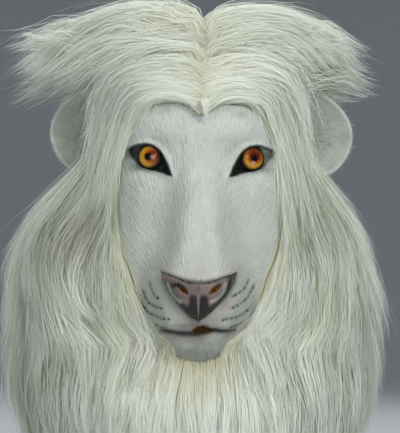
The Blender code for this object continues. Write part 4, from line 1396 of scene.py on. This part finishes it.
def crown_form(u, v, layer):
    """Points of the swept fur over the crown; past u = 1 it hangs beside the face, or trails off in wisps."""
    inside = np.clip(u, 0, 1)
    past = np.maximum(0, u - 1)
    plan = crown_plan(inside, v)
    seat = on_crown(plan[..., 0], plan[..., 1], SEAT)
    away = unit(seat - np.array([0, 0, CROWN_LINE]))
    edge = seat + away * (0.8 * FUR_EDGE + BACK_FUR * smooth(0.5, 1, v))[..., None]
    form = np.stack(
        [SWEEP_ACROSS(inside), SWEEP_FRONT + (SWEEP_BACK - SWEEP_FRONT) * v, SWEEP_HEIGHT(inside)], axis=-1
    )
    full = smooth(0, 0.34, v) * (1 - smooth(0.7, 1, v))
    outer = edge + (form - edge) * full[..., None]
    point = seat + (outer - seat) * layer[..., None]
    hang = smooth(FALLS_TO + 0.03, FALLS_TO, v)
    point[..., 0] += (24 * hang + 125 * (1 - hang)) * past
    point[..., 1] -= (6 * hang) * past
    point[..., 2] -= (165 * hang + 45 * (1 - hang)) * past
    return point, away


def meets_ear(rng, points):
    """Strands that would run through an ear, or hang before the open half of its cup."""
    found = np.zeros(len(points), bool)
    inner = rng.uniform(-9, 5, len(points))[:, None]
    above = rng.uniform(22, 46, len(points))[:, None]
    for side in (-1, 1):
        local = placed(np.linalg.inv(turned_out(side, EAR, EAR_TURN)), points)
        radius = np.hypot(local[..., 0], local[..., 1])
        cup = -EAR_CUP * (1 - np.clip(radius / EAR_RADIUS, 0, 1) ** EAR_CURVE)
        through = (radius < EAR_RADIUS + 2) & (local[..., 2] < 2) & (local[..., 2] > cup - 5)
        before = (radius < EAR_RADIUS + 1) & (local[..., 2] > -8) & (local[..., 2] < 130)
        before &= (local[..., 0] * side > inner) & (local[..., 1] < above)
        found |= (through | before).any(axis=1)
    return found


def nearest_lock(rng, places, count):
    """The lock that each strand belongs to, by where it starts."""
    chosen = places[rng.choice(len(places), min(count, len(places)), replace=False)]
    tree = kdtree.KDTree(len(chosen))
    for i, place in enumerate(chosen):
        tree.insert(place, i)
    tree.balance()
    return np.array([tree.find(place)[1] for place in places])


def lock_middle(paths, lock):
    """The middle line of every lock."""
    steps = paths.shape[1]
    locks = lock.max() + 1
    members = np.maximum(1, np.bincount(lock, minlength=locks))
    flat = paths.reshape(len(paths), -1).T
    columns = [np.bincount(lock, weights=column, minlength=locks) / members for column in flat]
    return np.stack(columns, axis=-1).reshape(locks, steps, 3)


def length_of(paths):
    return np.linalg.norm(np.diff(paths, axis=1), axis=-1).sum(axis=1)


def drawn_in(paths, away, lock, strength, power):
    """Strands drawn together sideways towards the tips of their locks, keeping most of their depth."""
    s = np.linspace(0, 1, paths.shape[1])
    move = lock_middle(paths, lock)[lock] - paths
    move -= away * (KEEP_DEPTH * np.sum(move * away, axis=-1))[..., None]
    return paths + (strength * s**power)[None, :, None] * move


def lock_sway(rng, paths, away, lock, size):
    """Each lock wanders a little sideways and outwards on its own."""
    count = lock.max() + 1
    s = np.linspace(0, 1, paths.shape[1])[None, :]
    phase = rng.uniform(0, 2 * math.pi, count)[lock][:, None]
    speed = rng.uniform(0.45, 1.0, count)[lock][:, None]
    tall = rng.normal(0, size, count)[lock][:, None]
    out = rng.normal(0, size * 0.8, count)[lock][:, None]
    aside = np.cross(unit(np.gradient(paths, axis=1)), away)
    wave = np.sin(phase + s * speed * 2 * math.pi) - np.sin(phase)
    grow = s**1.3 * np.clip(length_of(paths) / 130, 0.1, 1)[:, None] ** 1.5
    return paths + aside * (tall * wave * grow)[..., None] + away * (out * grow)[..., None]


def strand_object(name, rng, paths, away, lock, inner_shade_tone, width, material):
    """Flat tapering ribbons along paths, as one mesh, with their tones on the points."""
    count, steps, _ = paths.shape
    along = unit(np.gradient(paths, axis=1))
    aside = unit(np.cross(along, away))
    face = np.cross(aside, along)
    twist = rng.normal(0, 0.45, count).clip(-1.0, 1.0)[:, None, None]
    turned = aside * np.cos(twist) + face * np.sin(twist)
    s = np.linspace(0, 1, steps)[None, :]
    wide = width * rng.uniform(0.65, 1.3, count)[:, None] * (1 - 0.78 * s**1.5) * smooth(-0.25, 0.2, s)
    half = turned * (wide / 2)[..., None]
    ring = np.stack([paths[:, :-1] - half[:, :-1], paths[:, :-1] + half[:, :-1]], axis=2)
    points = np.concatenate([ring.reshape(count, -1, 3), paths[:, -1:]], axis=1)
    each = points.shape[1]
    pattern = []
    for k in range(steps - 2):
        pattern += [2 * k, 2 * k + 1, 2 * k + 3, 2 * k + 2]
    pattern += [2 * (steps - 2), 2 * (steps - 2) + 1, 2 * (steps - 1)]
    loops = (np.arange(count)[:, None] * each + np.array(pattern)[None, :]).ravel()
    starts = (np.arange(count)[:, None] * len(pattern) + np.arange(steps - 1)[None, :] * 4).ravel()
    thing = new_mesh(name, points.reshape(-1, 3), loops, starts)
    # each lock is shaded as one round, soft form rather than strand by strand
    locks = lock.max() + 1
    spread = paths - lock_middle(paths, lock)[lock]
    spread -= along * np.sum(spread * along, axis=-1)[..., None]
    soft = unit(face + away * 0.6 + spread / LOCK_ROUND + turned * np.sin(-twist) * 0.3)
    normals = np.concatenate([np.repeat(soft[:, :-1], 2, axis=1), soft[:, -1:]], axis=1).reshape(-1, 3)
    thing.data.normals_split_custom_set_from_vertices(normals)
    share = np.concatenate([np.repeat(s[0, :-1], 2), [1.0]])[None, :] + np.zeros((count, 1))
    lock_tone = rng.uniform(0, 1, locks)[lock]
    own_tone = rng.uniform(0, 1, count)
    # the last tone is a mask of painted shade for strands that lie deep in the fur
    tones = [share] + [tone[:, None] + 0 * share for tone in (own_tone, lock_tone, inner_shade_tone)]
    tones = np.stack(tones, axis=-1)
    set_colours(thing, "hair", tones.reshape(-1, 4))
    thing.data.materials.append(material)
    return thing


def long_pile(looks):
    """Modacrylic long pile: soft gloss along the strands, cream near the backing and white at the tips, with
    painted shade on the strands that lie deep in the fur.
    """
    material, shader = new_material("long pile faux fur")
    tree = material.node_tree
    hair = attribute(tree, "hair")
    along, own, lock = colour_parts(tree, hair["Color"])
    colour = mixed(tree, ranged(tree, along, 0.0, 0.5), looks.root, looks.tip)
    colour = mixed(tree, ranged(tree, lock, 0.5, 1.0, 0.0, 0.5), colour, looks.shade)
    # painted shade: strands that stay deep in the fur take more of the root cream
    colour = mixed(tree, ranged(tree, hair["Alpha"], 0.85, 0.3, 0.0, 0.6), colour, looks.root)
    colour = mixed(tree, ranged(tree, own, 0.6, 1.0, 0.0, 0.3), colour, looks.shade)
    set_inputs(shader, {"Base Color": colour, "Roughness": 0.5, "Specular IOR Level": 0.3})
    # light passes through thin strands from behind
    through = add_node(tree, "ShaderNodeBsdfTranslucent", {}, {"Color": colour})
    both = add_node(
        tree, "ShaderNodeMixShader", {}, {0: 0.28, 1: shader.outputs[0], 2: through.outputs[0]}
    )
    set_inputs(tree.nodes["Material Output"], {"Surface": both.outputs[0]})
    return material


# how round a lock is shaded, in millimetres: smaller is rounder
LOCK_ROUND = 11.0
# share of the crown, from the hairline back, whose strands fall in front of the ears
FALLS_TO = 0.125
# share of the way out that a strand keeps when its lock is drawn in
KEEP_DEPTH = 0.75
# strength and power of the pull towards a lock's middle line, and a small tuft's
LOCK_PULL = (0.55, 1.3)
TUFT_PULL = (0.62, 1.5)
STRAY_SHARE = 0.07
STRAY_REACH = 13.0
LOOSE_REACH = 2.2
# name, angles from the front in degrees, strands
HANGING = (("cheek", (BIB_ANGLE, CHEEK_ANGLE), 11000), ("side", (CHEEK_ANGLE, SIDE_ANGLE), 7000))
CROWN_STRANDS = 10800
BACK_STRANDS = 12000
BIB_STRANDS = 8500
TUFT_STRANDS = 170
# highest and lowest roots of the hanging fur
ROOTS = {
    "cheek": (-44.0, -352.0), "side": (-40.0, -352.0), "back": (-40.0, -352.0), "bib": (-300.0, -405.0),
}
# strands in a lock, and in a small tuft
HANGING_LOCK = 85
HANGING_TUFT = 13
CROWN_LOCK = 80
CROWN_TUFT = 12
# share of the strands on the outside of the fur, and of those rooted at the face's edge
HANGING_OUTER = 0.6
CROWN_OUTER = 0.62
CHEEK_HEM = 0.24
CROWN_HEM = 0.1
# how far strands at the face's edge keep their own way, rather than their lock's
CHEEK_HOLD = 0.55
CROWN_HOLD = 0.5
HANGING_LENGTH = (110, 160)
BIB_LENGTH = 0.72
HANGING_SWAY = 7.5
CROWN_SWAY = 8.0
# how far the strands may lie past the solids' box, on its low and its high sides
ROOM_LOW = 20
ROOM_HIGH = 18
# how wide the mane lies on the left and the right, as a share of the solids' form
SIDE_STRETCH = {-1: 1.05, 1: 0.985}
CROWN_STRETCH = {-1: 1.02, 1: 0.93}


class MASK_OT_fur(bpy.types.Operator):
    """Makes the mane, as long strands over the form that the solids give it"""

    bl_idname = "lion_mask.make_fur"
    bl_label = "Mane"

    def execute(self, context):
        looks = context.scene.lion_fur
        self.looks = looks
        self.material = long_pile(looks)
        for number, (side, word) in enumerate(((-1, "left"), (1, "right"))):
            self.crown(side, word, looks.seed + number)
            for k, (name, angles, count) in enumerate(HANGING):
                seed = looks.seed + 10 + 2 * k + number
                self.hanging(f"{name}_{word}", side, angles, count, 6, name, seed)
        back = (SIDE_ANGLE, 360 - SIDE_ANGLE)
        self.hanging("back", 1, back, BACK_STRANDS, 6, "back", looks.seed + 30)
        self.hanging("bib", 1, (-BIB_ANGLE, BIB_ANGLE), BIB_STRANDS, 7, "bib", looks.seed + 31)
        return {"FINISHED"}

    def dress(self, name, rng, paths, away, depth, lock, tuft, hold, sway):
        """Draws strands into locks, lets them wander and makes them one piece."""
        given = paths
        paths = drawn_in(paths, away, lock, *LOCK_PULL)
        paths = lock_sway(rng, paths, away, lock, sway)
        paths = drawn_in(paths, away, tuft, *TUFT_PULL)
        paths = paths + (given - paths) * hold[:, None, None]
        stray = rng.uniform(0, 1, len(paths)) < STRAY_SHARE
        s = np.linspace(0, 1, paths.shape[1])[None, :, None]
        far = np.where(stray, STRAY_REACH, LOOSE_REACH) * np.clip(length_of(paths) / 110, 0.15, 1)
        loose = rng.normal(0, 1, (len(paths), 1, 3)) * far[:, None, None]
        paths = paths + loose * s**1.4
        x, height = paths[..., 0], paths[..., 2]
        before = paths[..., 1] < 0
        # beside the eyes the strands stay off the face, and by the mouth they may lean in over the hem
        edge = EDGE(np.clip(height, CHIN_EDGE, FACE_TOP)) + 1
        edge = edge - rng.uniform(0, 1, len(x))[:, None] ** 1.6 * 9
        edge = edge - 3 * (x > 0) - 9 * smooth(-222, -262, height)
        aside = (np.abs(x) < edge) & (np.abs(x) > edge - 22) & (height < -66) & (height > -300) & before
        paths[..., 0] = np.where(aside, np.sign(x) * (edge + (edge - np.abs(x)) * 0.12), x)
        # nothing passes through the face
        over = (np.abs(x) < EDGE(height) + 5) & (height < -38) & (height > -334) & before
        skin = skin_depth(x, np.clip(height, CHIN_EDGE, -38)) - 1.2
        paths[..., 1] = np.where(over, np.minimum(paths[..., 1], skin), paths[..., 1])
        # the mane stands out widest below the ears
        wider = np.where(x < 0, 11, 3) * smooth(105, 150, np.abs(x)) * ridge(height + 205, 55)
        paths[..., 0] += np.sign(x) * wider
        low, high = np.array(CAD_BOX[0]) / MM, np.array(CAD_BOX[1]) / MM
        paths = np.clip(paths, low - ROOM_LOW, high + ROOM_HIGH)
        keep = ~meets_ear(rng, paths)
        paths, away, depth, lock = paths[keep], away[keep], depth[keep], lock[keep]
        width = self.looks.width / MM
        fur = strand_object(f"fur_{name}", rng, paths, away, lock, depth, width, self.material)
        finish_piece(fur, "long_fur", f"mane_{name}")

    def hanging(self, name, side, angles, count, steps, soft, seed):
        rng = np.random.default_rng(seed)
        count = int(count * self.looks.amount)
        low, high = (math.radians(angle) for angle in angles)
        top, bottom = ROOTS[soft]
        height = top + (bottom - top) * rng.uniform(0, 1, count) ** (1.2 if soft == "bib" else 1.15)
        across = rng.uniform(0, 1, count)
        hem = np.zeros(count, bool)
        if soft == "cheek":
            hem = rng.uniform(0, 1, count) < CHEEK_HEM
            across = np.where(hem, across * 0.06, across)
        overlap = math.radians(9) if soft in ("cheek", "bib") else math.radians(2)

        def turn_at(share, level):
            if soft == "cheek":
                first = hood_angle(EDGE(level) + 0.5, level)
                first = np.where(level > -296, first, np.minimum(first, low - overlap))
                return first + (high - first) * share
            return low - overlap + (high - low + 2 * overlap) * share

        if soft == "bib":
            x = np.abs(on_hood(turn_at(across, height), height)[..., 0])
            height = np.minimum(height, lower_edge(x) + 6 * rng.uniform(0, 1, count))
        outer = rng.uniform(0, 1, count) < HANGING_OUTER
        layer_high = np.where(outer, rng.uniform(0.84, 1.02, count), rng.uniform(0.3, 0.84, count))
        start = turn_at(across, height)
        places = np.stack([start * 130, height * 0.55, layer_high * 26], axis=-1)
        lock = nearest_lock(rng, places, max(12, count // HANGING_LOCK))
        tuft = nearest_lock(rng, places, max(60, count // HANGING_TUFT))
        locks = lock.max() + 1
        reach = -rng.uniform(*HANGING_LENGTH, count) * rng.uniform(0.72, 1.15, locks)[lock]
        if soft == "bib":
            reach *= BIB_LENGTH
        reach = np.where(hem, reach * rng.uniform(0.35, 0.8, count), reach)
        lowest = (-440 - 30 * rng.uniform(0, 1, locks) ** 0.7)[lock] - rng.uniform(-6, 4, count)
        reach = np.maximum(reach, lowest - height + rng.uniform(0, 10, count))
        layer_low = np.where(outer, layer_high - rng.uniform(0.08, 0.42, count), 0.04)
        layer_low = np.where(hem, 0.02, layer_low)
        layer_high = np.where(hem, rng.uniform(0.2, 1.0, count), layer_high)
        sway = rng.normal(0, 0.02, count) + rng.normal(0, 0.03, locks)[lock]
        s = np.linspace(0, 1, steps)[None, :]
        heights = height[:, None] + reach[:, None] * s
        follow = 0.75 if soft == "cheek" else 0.0
        begin = start[:, None]
        turns = begin + follow * (turn_at(across[:, None], heights) - begin) + sway[:, None] * s
        if soft == "cheek":
            # the fur at the hem leans over the face, most of all beside the muzzle
            reach_in = 2.5 + 11 * smooth(-238, -276, heights)
            lean = np.where(hem, rng.uniform(0, 1, count), 0)[:, None] * reach_in
            turns = turns - lean * (0.35 + 0.65 * smooth(0, 0.4, s)) / 118
        layer = layer_low[:, None] + (layer_high - layer_low)[:, None] * smooth(0, 0.85, s)
        paths, away = hanging_form(turns, heights, layer, soft)
        if soft in ("cheek", "side"):
            paths[..., 0] *= side
            away[..., 0] *= side
        stretch = np.where(paths[..., 0] < 0, SIDE_STRETCH[-1], SIDE_STRETCH[1]) - 1
        paths[..., 0] *= 1 + stretch * smooth(90, 160, np.abs(paths[..., 0]))
        hold = np.where(hem, CHEEK_HOLD, 0.0)
        self.dress(name, rng, paths, away, layer_high, lock, tuft, hold, HANGING_SWAY)

    def crown(self, side, word, seed):
        rng = np.random.default_rng(seed)
        count = int(CROWN_STRANDS * self.looks.amount)
        steps = 8
        u = rng.uniform(0, 1, count) ** 1.4 * 0.96
        v = rng.uniform(0, 1, count)
        kind = rng.uniform(0, 1, count)
        v = np.where(kind < 0.22, v * 0.13, v)
        hem = kind < CROWN_HEM
        places = np.stack([u * 150, v * 190, rng.uniform(0, 14, count)], axis=-1)
        lock = nearest_lock(rng, places, count // CROWN_LOCK)
        tuft = nearest_lock(rng, places, count // CROWN_TUFT)
        locks = lock.max() + 1
        falls = np.where(v < FALLS_TO, 1.0, 0.0)
        parting = smooth(0.13, 0.0, u)
        # over the ears strands end about the form's edge; in front of them they fall on beside the face
        end = 0.94 - 0.08 * side + 0.42 * rng.uniform(0, 1, locks)[lock] ** 1.6
        end = end + rng.uniform(-0.22, 0.1, count)
        swept = np.minimum(rng.uniform(0.5, 0.9, count), end - u)
        reach = swept * (1 - falls) + rng.uniform(0.55, 1.6, count) * falls
        reach = np.where(hem, reach * 0.6, reach)
        outer = rng.uniform(0, 1, count) < CROWN_OUTER + 0.2 * parting
        layer_high = np.where(outer, rng.uniform(0.84, 1.04, count), rng.uniform(0.25, 0.84, count))
        layer_low = np.where(outer, layer_high - rng.uniform(0.1, 0.6, count), 0.04)
        layer_low = np.where(parting > 0.2, layer_high * rng.uniform(0.02, 0.8, count), layer_low)
        layer_low = np.maximum(0.03, np.where(hem, 0.02, layer_low))
        layer_high = np.where(hem, rng.uniform(0.3, 1.1, count), layer_high)
        drift = rng.normal(0, 0.03, count) + rng.normal(0, 0.03, locks)[lock]
        s = np.linspace(0, 1, steps)[None, :]
        us = u[:, None] + reach[:, None] * s ** (1.2 + 0.7 * parting[:, None])
        vs = np.clip(v[:, None] + drift[:, None] * s, 0, 1)
        vs = np.where(falls[:, None] > 0, np.minimum(vs, FALLS_TO), np.maximum(vs, FALLS_TO + 0.03))
        rise = smooth(-0.05, 1, s / (0.5 - 0.22 * parting[:, None]))
        layer = layer_low[:, None] + (layer_high - layer_low)[:, None] * rise
        paths, away = crown_form(us, vs, layer)
        # wisps leave the form at their own slopes
        slope = (rng.normal(-2 + 2 * side, 20, locks)[lock] + rng.normal(0, 7, count)) * (1 - falls)
        paths[..., 2] += slope[:, None] * smooth(0.5, 1.25, us)
        # at the parting some strands cross over to the other side
        crosses = rng.uniform(0, 1, count) < 0.45
        cross = np.where(crosses, rng.uniform(2, 17, count), rng.uniform(-2, 5, count)) * parting
        paths[..., 0] -= cross[:, None] * (1 - s) ** 1.5
        down = smooth(0.05, 0, v) * hem
        paths[..., 2] -= (7.5 * down)[:, None] * (1 - s)
        paths[..., 1] -= (4.5 * down)[:, None] * (1 - s)
        paths[..., 0] *= side * (1 + (CROWN_STRETCH[side] - 1) * smooth(60, 170, np.abs(paths[..., 0])))
        away[..., 0] *= side
        if side > 0:
            # the small tuft that hangs from the parting over the forehead
            few = np.arange(TUFT_STRANDS)
            spread = rng.normal(0, 1, (TUFT_STRANDS, 3))
            paths[few, :, 0] = 1.5 + 3.5 * s + (spread[:, :1] * (2.6 - 1.5 * s))
            paths[few, :, 2] = -37 + 6 * np.sin(2.2 * s) - 21 * s**1.3 + spread[:, 1:2] * 1.6
            paths[few, :, 1] = -118.5 - 6 * np.sin(math.pi * s) + spread[:, 2:] * 1.2
            away[few] = (0.0, -1.0, 0.1)
            lock[few] = locks
            tuft[few] = tuft.max() + 1
            hem[few] = True
        hold = np.where(hem, CROWN_HOLD, 0.0)
        self.dress(f"crown_{word}", rng, paths, away, layer_high, lock, tuft, hold, CROWN_SWAY)


def studio_paper(looks):
    """Matt studio paper, one even tone with a faint tooth."""
    material, shader = new_material("pale studio paper")
    tree = material.node_tree
    tooth = noise(tree, object_place(tree), 500.0, 2.0, 0.5)
    set_inputs(shader, {
        "Base Color": looks.floor, "Normal": bump(tree, tooth, 0.0002, 0.15), "Roughness": 0.9,
    })
    return material


# the floor bowl, in millimetres: flat to its bend, then up to a wall
FLOOR_HEIGHT = -478
FLOOR_FLAT = 4600
FLOOR_BEND = (4000, 2200)
WALL_TOP = 7000
FLOOR_SIDES = 96
# name, place, size, watts, whether it shows in wet surfaces
LIGHTS = (
    ("key", (1.0, -2.3, 1.25), 1.2, 40, False),
    ("fill", (-1.7, -2.2, 0.5), 2.0, 16, False),
    ("low", (0.6, -2.3, -0.45), 1.4, 13, False),
    ("back left", (-1.5, 1.9, 1.3), 1.4, 22, True),
    ("back right", (1.6, 1.9, 1.0), 1.4, 18, True),
    ("top", (0.0, 0.2, 2.2), 1.6, 15, True),
    ("glint", (0.1, -2.3, 0.4), 0.25, 4, True),
)
LIGHTS_AIM = Vector((0, -0.05, -0.17))
CAMERA_AIM = Vector((0.0, -0.1, -0.162))
SENSOR_WIDTH = 36


class MASK_OT_stage(bpy.types.Operator):
    """Makes the floor, the studio light and the camera"""

    bl_idname = "lion_mask.make_stage"
    bl_label = "Stage"

    def execute(self, context):
        looks = context.scene.lion_stage
        turn = np.linspace(0, 2 * math.pi, FLOOR_SIDES, endpoint=False)[None, :]
        bend = np.linspace(0, math.pi / 2, 16)[1:]
        out, up = FLOOR_BEND
        radius = np.concatenate([[20, FLOOR_FLAT], FLOOR_FLAT + out * np.sin(bend), [FLOOR_FLAT + out]])
        tall = np.concatenate([[0, 0], up - up * np.cos(bend), [WALL_TOP]]) + FLOOR_HEIGHT
        radius, tall = radius[:, None], tall[:, None]
        points = np.stack([radius * np.sin(turn), radius * np.cos(turn), tall + 0 * turn], axis=-1)
        loops, starts = grid_loops(len(radius), FLOOR_SIDES, closed=True)
        loops, starts = with_faces(loops, starts, range(FLOOR_SIDES))
        floor = new_mesh("studio_floor", points.reshape(-1, 3), loops, starts)
        floor.data.materials.append(studio_paper(looks))
        world = bpy.data.worlds.new("Studio")
        world.use_nodes = True
        set_inputs(
            world.node_tree.nodes["Background"], {"Color": linear("#E6ECF0"), "Strength": 0.5 * looks.light}
        )
        context.scene.world = world
        for name, place, size, watts, glints in LIGHTS:
            lamp = bpy.data.lights.new(name, "AREA")
            lamp.shape = "DISK"
            lamp.size = size
            lamp.energy = watts * looks.light
            thing = bpy.data.objects.new(name, lamp)
            thing.location = place
            thing.visible_glossy = glints
            thing.rotation_euler = (LIGHTS_AIM - Vector(place)).to_track_quat("-Z", "Y").to_euler()
            context.scene.collection.objects.link(thing)
        camera = bpy.data.cameras.new("Camera")
        camera.sensor_fit = "HORIZONTAL"
        camera.sensor_width = SENSOR_WIDTH
        camera.lens = SENSOR_WIDTH * looks.distance / looks.view_width
        camera.clip_end = 50
        thing = bpy.data.objects.new("Camera", camera)
        back, down = looks.distance * math.cos(looks.tilt), looks.distance * math.sin(looks.tilt)
        thing.location = CAMERA_AIM + Vector((0, -back, -down))
        facing = (CAMERA_AIM - thing.location).to_track_quat("-Z", "Y").to_matrix().to_4x4()
        roll = Matrix.Rotation(looks.roll, 4, "Z")
        thing.matrix_world = Matrix.Translation(thing.location) @ facing @ roll
        context.scene.collection.objects.link(thing)
        context.scene.camera = thing
        context.scene.view_settings.view_transform = "Standard"
        return {"FINISHED"}


class MASK_PT_panel(bpy.types.Panel):
    """Lists the mask's pieces"""

    bl_label = "Lion mask"
    bl_idname = "MASK_PT_panel"
    bl_space_type = "VIEW_3D"
    bl_region_type = "UI"
    bl_category = "Lion mask"

    def draw(self, context):
        for operator, group in (
            (MASK_OT_hood, "lion_fur"), (MASK_OT_face, "lion_face"), (MASK_OT_eyes, "lion_eyes"),
            (MASK_OT_ears, "lion_ears"), (MASK_OT_fur, "lion_fur"), (MASK_OT_stage, "lion_stage"),
        ):
            box = self.layout.box()
            box.operator(operator.bl_idname)
            settings = getattr(context.scene, group)
            for key in settings.bl_rna.properties.keys():
                if key not in ("rna_type", "name"):
                    box.prop(settings, key)


GROUPS = {
    "lion_face": FaceLooks, "lion_eyes": EyeLooks, "lion_ears": EarLooks, "lion_fur": FurLooks,
    "lion_stage": StageLooks,
}
OPERATORS = (MASK_OT_stage, MASK_OT_hood, MASK_OT_face, MASK_OT_eyes, MASK_OT_ears, MASK_OT_fur)


def register():
    for group in GROUPS.values():
        bpy.utils.register_class(group)
    for name, group in GROUPS.items():
        setattr(bpy.types.Scene, name, bpy.props.PointerProperty(type=group))
    for operator in OPERATORS:
        bpy.utils.register_class(operator)
    bpy.utils.register_class(MASK_PT_panel)


def unregister():
    bpy.utils.unregister_class(MASK_PT_panel)
    for operator in OPERATORS:
        bpy.utils.unregister_class(operator)
    for name in GROUPS:
        delattr(bpy.types.Scene, name)
    for group in GROUPS.values():
        bpy.utils.unregister_class(group)


def main():
    register()
    bpy.ops.lion_mask.make_stage()
    bpy.ops.lion_mask.make_hood()
    bpy.ops.lion_mask.make_face()
    bpy.ops.lion_mask.make_eyes()
    bpy.ops.lion_mask.make_ears()
    bpy.ops.lion_mask.make_fur()


if __name__ == "__main__":
    main()
